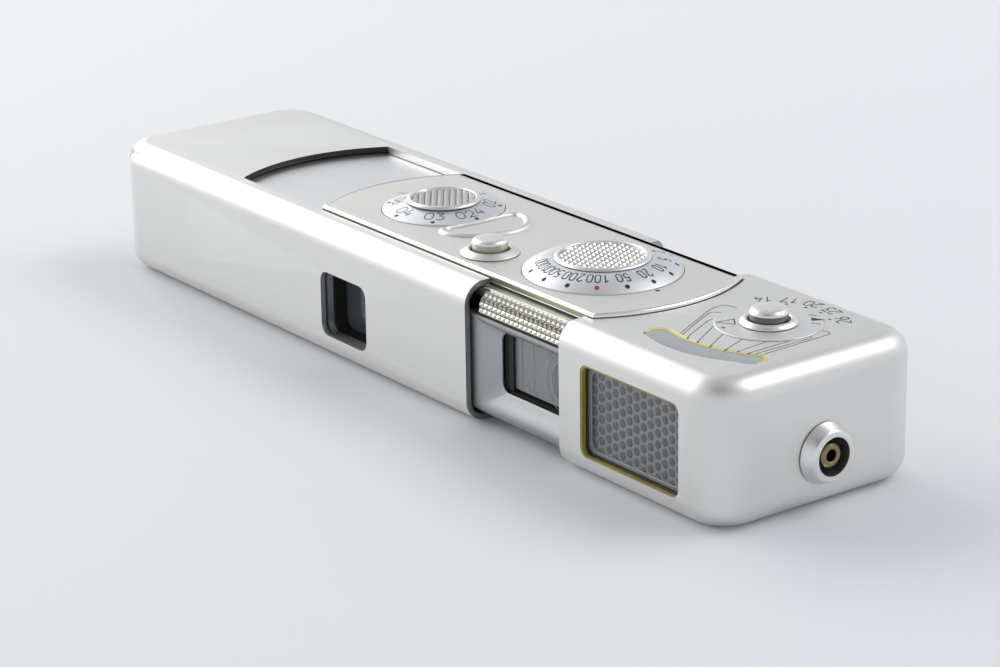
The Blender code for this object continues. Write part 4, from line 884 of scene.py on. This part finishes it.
def make_dial(label, numbers, number_radius, height, width, gap, stroke, tops_out, dots, dot_radius,
              dot_size, red, grooves, pitch, bulge):
    """A dial with a sloping numbered face and a knurled knob, both on the body of the dial's name."""
    low, high = corners(label + "_disc")
    knob_low, knob_high = corners(label + "_knob")
    x, radius = (low[0] + high[0]) / 2, (high[0] - low[0]) / 2
    knob_radius, knob_top = (knob_high[0] - knob_low[0]) / 2, knob_high[2]
    crown, edge = high[2], DIAL_EDGE
    surface = cone(x, 0, knob_radius - 0.1, crown, radius - 0.04, edge, bulge)
    face = [knob_radius - 0.1 + (radius - knob_radius + 0.06) * i / 12 for i in range(13)]
    profile = soft_profile([(DIAL_BORE, crown)] + [(r, surface(x + r, 0)) for r in face]
                           + [(radius, edge - 0.1), (radius, low[2]), (DIAL_BORE, low[2])], 0.08)
    disc = turned(label + "_face", profile, (x, 0, 0), steps=144, closed=True)
    stand_in(disc, "dial", label + "_disc", label)
    strokes = []
    for text, angle in numbers:
        strokes += ring_text(text, x, 0, number_radius, angle, height, width, gap, tops_out)
    fills = [circle(*polar(x, 0, dot_radius, angle), dot_size, 20) for angle in dots]
    marks(label + "_numerals", strokes, stroke, fills, surface, label, "ink", label + "_disc")
    if red is not None:
        fill = [circle(*polar(x, 0, dot_radius, red), dot_size, 20)]
        marks(label + "_red_dot", [], stroke, fill, surface, label, "red", label + "_disc")
    rim = knob_radius - 0.62
    floor, top = crown + 0.06, knob_top - 0.36
    ring = [(0, top), (rim - 0.02, top), (rim + 0.02, knob_top - 0.06), (rim + 0.14, knob_top),
            (rim + 0.3, knob_top - 0.02), (knob_radius - 0.1, knob_top - 0.13),
            (knob_radius, knob_top - 0.28), (knob_radius - 0.2, floor), (KNOB_SHAFT, floor),
            (KNOB_SHAFT, SHAFT_FOOT), (0, SHAFT_FOOT)]
    knob = turned(label + "_ring", soft_profile(ring, 0.12, 5), (x, 0, 0), steps=144)
    stand_in(knob, "knob", label + "_knob", label)
    knurl = knurl_disc(label + "_knurl", x, 0, rim - 0.07, knob_top - 0.1, pitch, KNURL_HEIGHT, grooves)
    show(knurl, "knurl", label + "_knob", label)


def make_dials():
    first, step = -43, 23.4
    texts = ("1000", "500", "200", "100", "50", "20", "10", "5", "2")
    speeds = [(text, first + step * (index - 3)) for index, text in enumerate(texts)]
    black = [angle for text, angle in speeds if text != "100"] + [first + step * 7]
    make_dial("speed_dial", speeds, number_radius=6.66, height=1.34, width=0.57, gap=0.29, stroke=0.14,
              tops_out=True, dots=black, dot_radius=8.05, dot_size=0.27, red=first,
              grooves=(-3.5, 116.5), pitch=0.75, bulge=0.3)
    metres = (("04", -92), ("03", -47), ("024", -0.5), ("02", 50.5), ("06", -140), ("1", -182),
              ("2", -222), ("~", -262))
    make_dial("distance_dial", metres, number_radius=5.3, height=1.35, width=0.95, gap=0.34, stroke=0.115,
              tops_out=False, dots=[angle for text, angle in metres], dot_radius=6.5, dot_size=0.25, red=None,
              grooves=(143.5, 83.5), pitch=0.72, bulge=0.0)
    index = [circle(30.75, 0.0, 0.27, 20)]
    arrow = [[(-16.2, -0.55), (-15.0, 0.15)], [(-15.55, 0.25), (-15.0, 0.15), (-15.25, -0.4)]]
    marks("plate_index_marks", arrow, 0.11, index, level(PLATE_FACE), "camera_body", "ink", "dial_plate")


# ---------------------------------------------------------------- frame counter and release
def make_counter():
    """The frame counter's raised soft lip round a crescent pocket, with the counter's hole in it."""
    outer = smooth_loop([(-1.5, -4.7), (-1.05, -5.8), (0.35, -6.2), (1.75, -5.6), (3.15, -4.3),
                         (4.3, -2.1), (4.95, 0.4), (4.45, 2.8), (3.3, 4.4), (1.4, 5.4), (-0.4, 5.55),
                         (-1.1, 4.7), (-0.7, 2.4), (-0.55, -0.7), (-0.95, -3.0)])
    inner = POCKET
    hole_x, hole_y, hole_radius, hole_top = 1.05, 2.95, 0.85, 16.1
    hole = circle(hole_x, hole_y, hole_radius, len(outer))
    offset = min(range(len(hole)), key=lambda k: sum(
        math.dist(inner[i], hole[(i + k) % len(hole)]) for i in range(0, len(inner), 5)))
    hole = [hole[(i + offset) % len(hole)] for i in range(len(hole))]
    base, top = PLATE_TOP - 0.03, 16.72
    floor, slope = 16.33, 0.11          # the pocket's floor at the dial's side, and its fall per mm

    def between(first, second, share, z):
        return [(a[0] + (b[0] - a[0]) * share, a[1] + (b[1] - a[1]) * share, z)
                for a, b in zip(first, second)]

    rings = [between(outer, inner, share, z) for share, z in (
        (0.0, base), (0.03, base + 0.05), (0.15, base + 0.16), (0.3, top - 0.05), (0.45, top),
        (0.62, top - 0.01), (0.8, top - 0.08), (0.93, top - 0.2), (1.0, top - 0.34))]
    for share, drop in ((0.06, 0.06), (0.2, 0.02), (0.5, 0.0), (0.95, 0.0), (1.0, 0.5)):
        rings.append([(x, y, floor - slope * max(0.0, x) - drop)
                      for x, y, z in between(inner, hole, share, 0)])
    made = loft("counter_lip", rings)

    def paint_of(x, y, z, normal):
        """The lip is bright, the pocket's floor is painted darker as shade and the hole is painted black as
        the shade inside it.
        """
        # the hole is painted black, standing in for the shade inside it
        if math.hypot(x - hole_x, y - hole_y) < hole_radius + 0.03 and z < hole_top:
            return 2
        # the pocket's floor takes a darker grey as painted shade
        return 1 if z < PLATE_TOP - HAIR and normal.z > 0.3 else 0

    repaint(made, ("lip", "pocket", "black"), paint_of)
    stand_in(made, "lip", "counter_bezel")


def make_release():
    low, high = corners("release_collar")
    seat, bore = 2.93, 2.2
    outline = [(bore, high[2] - 0.15), (bore + 0.15, high[2]), (2.6, high[2] - 0.05), (3.1, PLATE_TOP + 0.22),
               (3.4, PLATE_TOP + 0.02), (seat, PLATE_TOP + 0.02), (seat, low[2]), (bore, low[2])]
    collar = turned("release_collar_turned", soft_profile(outline, 0.25, 6),
                    (RELEASE_X, RELEASE_Y, 0), closed=True)
    stand_in(collar, "lip", "release_collar")
    top, radius = corners("release_button")[1][2], 2.03
    outline = [(0, top), (1.2, top - 0.02), (1.7, top - 0.08), (1.96, top - 0.28), (radius, top - 0.5),
               (radius, 15.0), (0.8, 15.0), (0.8, 12.05), (0, 12.05)]
    button = turned("release_button_turned", soft_profile(outline, 0.2, 6), (RELEASE_X, RELEASE_Y, 0))
    # the button's side below its rounded top is painted darker as shade
    repaint(button, ("button", "button_side_shade"), lambda x, y, z, normal: abs(normal.z) < 0.2 and z < top - 0.5)
    stand_in(button, "button", "release_button", "release_button")


# ---------------------------------------------------------------- filter bar and viewfinder
def make_filter_bar():
    """The knurled bar: rows of pyramids round its front edge, and its arm and ring inside."""
    low_z, high_z, front = BAR_HIGH[2] - 2.3, BAR_HIGH[2] - 0.22, -CHASSIS_HALF
    left, right = 16.3, BAR_HIGH[0]
    back = BEZEL_HIGH[1] - 0.15
    radius = 1.35
    face = [(front - 0.05, low_z)]
    face += [(front + radius * (1 - math.cos(a)) - 0.05 * math.cos(a), high_z - radius + radius * math.sin(a))
             for a in (math.radians(6 + 74 * i / 12) for i in range(13))]
    length = [0.0]
    for a, b in zip(face, face[1:]):
        length.append(length[-1] + math.dist(a, b))

    def along(share):
        want = share * length[-1]
        for i in range(len(face) - 1):
            if want <= length[i + 1] + 1e-9:
                t = (want - length[i]) / (length[i + 1] - length[i])
                return Vector(face[i]).lerp(Vector(face[i + 1]), t), Vector(face[i + 1]) - Vector(face[i])
        return Vector(face[-1]), Vector(face[-1]) - Vector(face[-2])

    rows, pitch, rise = 4, 0.78, 0.34
    columns = int((right - left) / pitch)
    bm = bmesh.new()
    lines = []
    for column in range(columns + 1):
        x = left + (right - left) * column / columns
        lines.append([bm.verts.new((x * MM, *(along(j / rows)[0] * MM))) for j in range(rows + 1)])
    plain = [(back, high_z), (back, low_z)]
    backs = []
    for column in range(columns + 1):
        x = left + (right - left) * column / columns
        backs.append([bm.verts.new((x * MM, y * MM, z * MM)) for y, z in plain])
    for column in range(columns):
        here, there = lines[column], lines[column + 1]
        for j in range(rows):
            ring = [here[j], there[j], there[j + 1], here[j + 1]]
            direction = along((j + 0.5) / rows)[1]
            outward = Vector((0, -direction.y, direction.x)).normalized()
            pyramid(bm, ring, outward, rise, flat=0.06, groove=0.14, groove_rise=0.04)
        loop_a, loop_b = [here[-1], *backs[column], here[0]], [there[-1], *backs[column + 1], there[0]]
        for k in range(3):
            bm.faces.new((loop_a[k], loop_b[k], loop_b[k + 1], loop_a[k + 1]))
    for end in (0, columns):
        bm.faces.new(lines[end] + backs[end])
    for vert in bm.verts:
        vert.co.y += 0.2 * MM
    bar = from_bmesh("filter_bar", bm)
    bar.data.materials.append(PAINTS["bar"])
    bar.data.materials.append(PAINTS["bar_groove"])
    stand_in(bar, "bar", "filter_slide", "filter", 20)
    arm_y_low, arm_y_high = -9.4, -9.0
    x = LENS_X + 9.0
    arm = box("filter_arm", (-2.9, arm_y_low, 11.3), (18.5, arm_y_high, 13.5))
    web = box("filter_web", (16.9, back - 0.3, 13.3), (18.5, arm_y_high, 13.8))
    combine(arm, web, "UNION")
    ring = flat_shape("filter_ring", [rounded_rectangle(x, 7.0, 8.8, 8.8, 1.0)], arm_y_low, arm_y_high, "XZ")
    combine(arm, ring, "UNION")
    cut(arm, circle(x, LENS_Z, 3.4), arm_y_low - CUT, arm_y_high + CUT, "XZ")
    show(bake(arm), "steel", "filter_slide", "filter")
    rail = flat_shape("filter_rail", [[(-11.72, 14.9), (-11.4, 14.9), (-11.4, 15.28), (-11.72, 15.28)]],
                      15.4, HOUSING_LEFT - 0.3, "YZ", soft=0.06)
    show(rail, "rim", "chassis_frame")


def make_bezel():
    """The viewfinder's frosted frame, with a broad soft slope into its opening."""
    x_low, x_high, z_low, z_high = BEZEL_LOW[0] - TUCK, BEZEL_HIGH[0], BEZEL_LOW[2], BEZEL_HIGH[2]
    back = BEZEL_HIGH[1]
    edge = CHASSIS_EDGE

    def skin(z):
        """The body's outer face, rounded off at the bottom."""
        low = z_low + edge
        if z >= low:
            return -CHASSIS_HALF
        return -(CHASSIS_HALF - edge) - math.sqrt(max(0.0, edge ** 2 - (low - z) ** 2))

    outer = rounded_rectangle((x_low + x_high) / 2, (z_low + z_high) / 2, x_high - x_low, z_high - z_low,
                              0.35, 12)
    inner = rounded_rectangle(FINDER_X, FINDER_Z, FINDER_W, FINDER_H, 1.1, 12)
    rings = []
    for share, dip in ((0.0, 0.25), (0.012, 0.1), (0.05, 0.02), (0.12, 0.0), (0.25, 0.0), (0.36, 0.03),
                       (0.48, 0.14), (0.6, 0.33), (0.72, 0.56), (0.84, 0.78), (0.93, 0.92), (0.98, 0.99),
                       (1.0, 1.05), (1.003, 1.14)):
        ring = []
        for (ax, az), (bx, bz) in zip(outer, inner):
            x, z = ax + (bx - ax) * share, az + (bz - az) * share
            ring.append((x, min(skin(z) + dip, back - 0.02), z))
        rings.append(ring)
    rings.append([(x, back, z) for x, y, z in rings[-1]])
    rings.append([(x, back, z) for x, z in outer])
    stand_in(loft("viewfinder_bezel_frame", rings, close=True), "frost", "viewfinder_bezel")
    glass = flat_shape("finder_front_glass", [rounded_rectangle(FINDER_X, FINDER_Z, FINDER_W - 1.4,
                                                                FINDER_H - 0.9, 0.8)],
                       GLASS_LOW[1], GLASS_HIGH[1], "XZ", soft=0.08)
    cx = FINDER_X + 4.9
    combine(glass, turned("dish", [(0, 1.0), (3.6, 1.0), (3.4, 0.3), (2.6, 0.05), (1.4, -0.1), (0, -0.15)],
                          (cx, GLASS_LOW[1] + 0.3, FINDER_Z), "-Y"))
    stand_in(bake(glass), "glass", "viewfinder_front_lens")
    front = GLASS_LOW[1]
    left, foot, head = FINDER_X - FINDER_W / 2, FINDER_Z - FINDER_H / 2, FINDER_Z + FINDER_H / 2
    mask = box("finder_mask", (left - 0.2, front - 0.34, foot - 0.2), (left + 1.35, front - 0.04, head + 0.2))
    show(mask, "black", "viewfinder_tube")
    near, far = front - 0.05, front - 0.01      # the fine edges stand just before the glass
    for number, (x, width) in enumerate(((left + 2.5, 0.07), (left + 4.5, 0.09))):
        line = box(f"finder_edge_{number}", (x, near, foot + 0.5), (x + width, far, head - 0.5))
        show(line, "glass_edge", "viewfinder_front_lens")
    for number, (x, z, radius, start, stop) in enumerate((
            (cx, FINDER_Z, 3.65, 105, 250), (cx, FINDER_Z, 2.7, 110, 255),
            (cx - 6.2, foot + 1.5, 0.8, 120, 330))):
        outline = arc(x, z, radius + 0.05, start, stop, 32) + arc(x, z, radius - 0.05, stop, start, 32)
        ring = flat_shape(f"finder_ring_{number}", [outline], near, far, "XZ")
        show(ring, "glass_edge", "viewfinder_front_lens")


# ---------------------------------------------------------------- meter
def make_cell():
    front, back = GASKET_LOW[1], PANE_LOW[1]
    outer = cell_opening(0.9, 0.9, 0.4)
    line = cell_opening(-0.34, -0.34, -0.05)
    gasket = flat_shape("cell_gasket_ring", [outer, line], front, GASKET_HIGH[1], "XZ", soft=0.06)
    stand_in(gasket, "gasket", "cell_gasket")
    rim = cell_opening(-0.02, -0.02)
    rim_inner = rounded_rectangle(CELL_X + 0.06, CELL_Z - 0.06, CELL_W - 0.34, CELL_H - 0.34, CELL_R - 0.1)
    seal = flat_shape("cell_seal", [rim, rim_inner], -HALF_WIDTH + 0.07, -HALF_WIDTH + 0.6, "XZ", soft=0.04)
    show(seal, "amber", "cell_gasket")
    inset = cell_opening(-0.5, -0.5)
    field = cell_opening(-1.7, -1.5)
    frame_ring = flat_shape("cell_grille_frame", [inset, field], front + 0.06, back, "XZ", soft=0.12)
    stand_in(frame_ring, "cell_rib", "cell_window")
    grille_front = front + 0.3
    grille = flat_shape("cell_grille", [field], grille_front, back, "XZ")
    show(grille, "cell_rib", "cell_window")
    bm = bmesh.new()
    columns, across, down, lower = 13, 1.13, 1.19, 0.12
    level = grille_front * MM
    for column in range(columns):
        count = 8 if column % 2 else 7
        x = CELL_X + (column - (columns - 1) / 2) * across
        for row in range(count):
            z = CELL_Z - lower + (row - (count - 1) / 2) * down
            rings = []
            for radius, depth in ((0.49, 0.004), (0.45, 0.03), (0.3, 0.05)):
                rings.append([bm.verts.new(((x + px) * MM, level - depth * MM, (z + pz) * MM))
                              for px, pz in circle(0, 0, radius, 14)])
            bm.faces.new(rings[-1])
            bm.faces.new(rings[0])
            for first, second in zip(rings, rings[1:]):
                bridge(bm, first, second)
    show(from_bmesh("cell_lens_dots", bm), "cell_dot", "cell_window")


def make_needle_window():
    pane_top = HEIGHT - 0.09
    pane = flat_shape("needle_pane", [window_outline(-0.05)], HEIGHT - WALL - 0.7, pane_top, soft=0.1)
    stand_in(pane, "pane", "needle_window")
    low, high = window_arcs(-0.2)
    line = end_cap(low[-1], high[0])[3:] + high + end_cap(high[-1], low[0])[:7]
    bm = bmesh.new()
    ribbon(bm, line, 0.46, level(pane_top + 0.02))
    show(from_bmesh("needle_window_seal", bm), "yellow", "needle_window")


def make_film_speed_dial():
    low, high = corners("film_speed_disc")
    radius, top = (high[0] - low[0]) / 2, high[2]
    profile = [(0, top), (radius - 0.04, top), (radius, top - 0.04), (radius, HEIGHT + 0.02),
               (2.1, HEIGHT + 0.02), (2.1, low[2]), (0, low[2])]
    disc = turned("film_speed_face", soft_profile(profile, 0.03), (METER_X, METER_Y, 0), steps=128)
    stand_in(disc, "meter_disc", "film_speed_disc", "film_speed_dial")
    knob_top = corners("film_speed_knob")[1][2]
    base = top + 0.06
    profile = [(0, knob_top), (1.2, knob_top - 0.03), (1.75, knob_top - 0.14), (2.05, knob_top - 0.45),
               (2.07, base + 0.12), (2.22, base + 0.12), (2.27, base + 0.42), (2.5, base + 0.5),
               (2.85, base + 0.36), (3.08, base + 0.1), (3.1, base), (0, base)]
    knob = turned("film_speed_knob_turned", soft_profile(profile, 0.2, 6), (METER_X, METER_Y, 0))
    # the knob's lower wall is painted dark as shade
    neck_shade, neck_low, neck_high = 2.2, base + 0.05, base + 0.62
    repaint(knob, ("button", "neck_shade"), lambda x, y, z, normal:
            math.hypot(x - METER_X, y - METER_Y) < neck_shade and neck_low < z < neck_high)
    stand_in(knob, "button", "film_speed_knob", "film_speed_dial")
    pointer = [(41.88, -1.28), (42.26, 0.74), (43.58, -0.24), (41.88, -1.28)]
    tip, left_base, right_base = (48.35, 7.85), (46.95, 7.2), (47.75, 6.6)
    strokes = [pointer, [(46.1, 7.6), (46.9, 8.1)], [(48.25, 6.05), (49.1, 6.6)]]
    marks("film_speed_pointers", strokes, 0.13, [[tip, left_base, right_base]], level(top),
          "film_speed_dial", "ink", "film_speed_disc")
    marks("film_speed_dot", [], 0.1, [circle(43.6, -1.86, 0.24, 18)], level(top), "film_speed_dial",
          "gold", "film_speed_disc")
    numbers = []
    for text, angle in (("14", 143), ("17", 122), ("20", 102), ("23", 81), ("26", 58)):
        numbers += ring_text(text, METER_X, METER_Y, 7.75, angle, 1.45, 0.8, 0.24, False)
    dots = [circle(*polar(METER_X, METER_Y, 6.45, angle), 0.17, 16) for angle in (144, 122, 102, 82, 62)]
    marks("film_speed_numbers", numbers, 0.13, dots, level(HEIGHT), "camera_body", "ink", "meter_housing")


def make_fan():
    """Engraved lines that lead from the film-speed disc to the needle window."""
    edge = 5.85
    paths = (((edge, 173), (7.5, 178), (7.45, 193), (9.7, 250)),
             ((edge, 196), (6.9, 199), (7.05, 219), (9.7, 253)),
             ((edge, 219), (6.2, 221), (9.0, 255), (9.7, 260)),
             ((edge, 241), (9.5, 269)), ((edge, 266), (9.5, 280)), ((edge, 291), (9.6, 291)),
             ((edge, 316), (9.4, 299)), ((edge, 340), (9.6, 306)),
             ((edge, 365), (6.2, 363), (9.5, 311)), ((edge, 388), (6.6, 386), (7.0, 382), (9.5, 316)))
    strokes = []
    for path in paths:
        points = [polar(METER_X, METER_Y, radius, angle) for radius, angle in path]
        strokes.append(soft_profile(points, 0.9, 6) if len(points) > 2 else points)
    marks("meter_fan_lines", strokes, 0.1, [], level(HEIGHT), "camera_body", "fan_ink", "meter_housing")


def make_socket():
    place = (RIGHT_END, SOCKET_Y, SOCKET_Z)
    proud = corners("flash_socket_collar")[1][0] - RIGHT_END
    profile = [(2.09, proud), (2.55, proud), (2.75, proud - 0.15), (3.37, 0.08), (2.35, 0.08), (2.35, -1.6),
               (2.09, -1.6)]
    collar = turned("flash_socket_cone", soft_profile(profile, 0.1), place, "X", closed=True)
    stand_in(collar, "collar", "flash_socket_collar")
    front = corners("socket_contact")[1][0] - RIGHT_END
    profile = [(0.65, front - 0.12), (0.8, front), (1.1, front - 0.02), (1.33, front - 0.25), (1.33, -2.6),
               (0.65, -2.6)]
    contact = turned("flash_socket_contact", soft_profile(profile, 0.08), place, "X", 64, closed=True)
    # the contact's brass is darkened as painted shade inside the socket
    stand_in(contact, "brass_in_shade", "socket_contact")
    profile = [(1.45, -0.6), (1.97, -0.6), (1.97, -2.2), (1.45, -2.2)]
    insulator = turned("flash_socket_insulator", profile, place, "X", 64, closed=True)
    stand_in(insulator, "black", "socket_insulator")


# ---------------------------------------------------------------- eyepiece and lens window
def make_windows():
    window = rounded_rectangle(LENS_X, LENS_Z, LENS_WINDOW_W + 1.2, LENS_WINDOW_H + 1.2, 1.5)
    low, high = corners("lens_window")
    pane = flat_shape("lens_window_pane", [window], low[1], high[1], "XZ", soft=0.08)
    stand_in(pane, "window", "lens_window")
    low, high = corners("lens_hood")
    hood = flat_shape("lens_hood_ring", [window, lens_opening()], low[1], high[1], "XZ", soft=0.05)
    stand_in(hood, "black", "lens_hood")
    low, high = corners("eyepiece_bezel")
    outer = rounded_rectangle(EYE_X, EYE_Z, high[0] - low[0], high[2] - low[2], 1.05)
    opening = rounded_rectangle(EYE_X, EYE_Z, 6.3, 3.9, 0.8)
    ring = flat_shape("eyepiece_ring", [outer, opening], low[1], high[1], "XZ", soft=0.12)
    stand_in(ring, "black", "eyepiece_bezel")
    low, high = corners("viewfinder_eyepiece_lens")
    outline = rounded_rectangle(EYE_X, EYE_Z, high[0] - low[0], high[2] - low[2], 1.0)
    eye = flat_shape("eyepiece_glass", [outline], low[1], high[1], "XZ", soft=0.15)
    stand_in(eye, "glass", "viewfinder_eyepiece_lens")


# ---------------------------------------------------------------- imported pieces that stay
CARRIED = {
    "brass": ("drive_pinion", "winding_gear", "shutter_speed_cam", "focus_cam", "lens_guide"),
    "steel": ("drive_rack", "pinion_post", "pressure_spring", "release_bracket", "release_lever",
              "release_spring", "shutter_pivot_pin", "galvanometer_magnet"),
    "black_metal": ("lens_barrel", "shutter_plate", "shutter_front_blade", "shutter_rear_blade",
                    "film_gate", "pressure_plate", "film_cassette", "parallax_frame", "counter_disc",
                    "selenium_cell"),
    "black": ("viewfinder_tube", "take_up_spool", "meter_needle"),
    "glass": ("front_lens_element", "rear_lens_element"),
    "film": ("film_strip",),
    "filter": ("filter_glass",),
}


def paint_carried():
    """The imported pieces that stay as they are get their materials."""
    for paint, nodes in CARRIED.items():
        for node in nodes:
            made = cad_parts[node]
            if made.material_slots:
                for place in made.material_slots:
                    place.material = PAINTS[paint]
            else:
                made.data.materials.append(PAINTS[paint])


# ---------------------------------------------------------------- floor, light and camera
def stage(made, name, color, roughness):
    """Gives a thing of the studio its plain paint."""
    paint, tree, shader = shader_of(name)
    shader.inputs["Base Color"].default_value = (*color, 1.0)
    shader.inputs["Roughness"].default_value = roughness
    made.data.materials.append(paint)


def make_floor():
    bm = bmesh.new()
    bmesh.ops.create_grid(bm, x_segments=2, y_segments=2, size=3.0)
    floor = from_bmesh("floor", bm)
    floor.location.z = -0.05 * MM          # just under the feet of the body
    stage(floor, "pale_paper", (0.80, 0.81, 0.83), 0.7)


def area_light(name, place, target, size, power, color):
    """A soft light at a place in metres, turned to a target."""
    data = bpy.data.lights.new(name, "AREA")
    data.shape = "RECTANGLE"
    data.size, data.size_y = size
    data.energy = power
    data.color = color
    made = bpy.data.objects.new(name, data)
    made.location = place
    aim = Vector(target) - Vector(place)
    made.rotation_euler = aim.to_track_quat("-Z", "Y").to_euler()
    bpy.context.scene.collection.objects.link(made)


HORIZON, ZENITH = (0.80, 0.83, 0.875), (0.42, 0.43, 0.45)


def make_world():
    """An even studio, brighter near the horizon than overhead."""
    world = bpy.data.worlds.new("studio")
    bpy.context.scene.world = world
    world.use_nodes = True
    tree = world.node_tree
    back = tree.nodes["Background"]
    place = tree.nodes.new("ShaderNodeTexCoord")
    parts = tree.nodes.new("ShaderNodeSeparateXYZ")
    tree.links.new(place.outputs["Generated"], parts.inputs["Vector"])
    rise = span(tree, parts.outputs["Z"], 0.1, 0.9, 0.0, 1.0)
    tree.links.new(mix(tree, rise, HORIZON, ZENITH), back.inputs["Color"])
    back.inputs["Strength"].default_value = 1.0


def make_light():
    area_light("key", (-0.70, -0.16, 0.40), (0, 0, 0.02), (0.95, 0.65), 4.6, (1.0, 0.985, 0.96))
    area_light("top", (0.26, 0.44, 0.55), (0.02, 0, 0), (0.45, 0.35), 1.6, (1.0, 1.0, 1.0))
    card = box("dark_card", (-170, -170, 0), (170, 170, 2))
    aim = Vector((0.40, -0.52, 0.755))
    card.location = Vector((0.05, 0, 0)) + aim * 0.7
    card.rotation_euler = aim.to_track_quat("Z", "Y").to_euler()
    stage(card, "dark_cloth", (0.02, 0.02, 0.022), 0.9)


AZIMUTH, ELEVATION, ROLL = 53.46, 19.286, -0.887
CAMERA_PLACE = (0.281551, -0.206738, 0.125418)      # metres
LENS, SENSOR = 116.25, 36.0


def make_camera():
    a, e, r = (math.radians(value) for value in (AZIMUTH, ELEVATION, ROLL))
    back = Vector((math.sin(a) * math.cos(e), -math.cos(a) * math.cos(e), math.sin(e)))
    level = Vector((0, 0, 1)).cross(back).normalized()
    up = back.cross(level)
    right = level * math.cos(r) + up * math.sin(r)
    tall = up * math.cos(r) - level * math.sin(r)
    data = bpy.data.cameras.new("camera")
    data.lens, data.sensor_width = LENS, SENSOR
    data.clip_start, data.clip_end = 0.01, 20.0
    made = bpy.data.objects.new("camera", data)
    turn = Matrix((right, tall, back)).transposed().to_4x4()
    made.matrix_world = Matrix.Translation(CAMERA_PLACE) @ turn
    bpy.context.scene.collection.objects.link(made)
    bpy.context.scene.camera = made
    bpy.context.scene.view_settings.view_transform = "Standard"


make_sleeve()
make_housing()
make_chassis()
make_covers()
make_plate()
make_dials()
make_counter()
make_release()
make_filter_bar()
make_bezel()
make_cell()
make_needle_window()
make_film_speed_dial()
make_fan()
make_socket()
make_windows()
paint_carried()
make_floor()
make_world()
make_light()
make_camera()
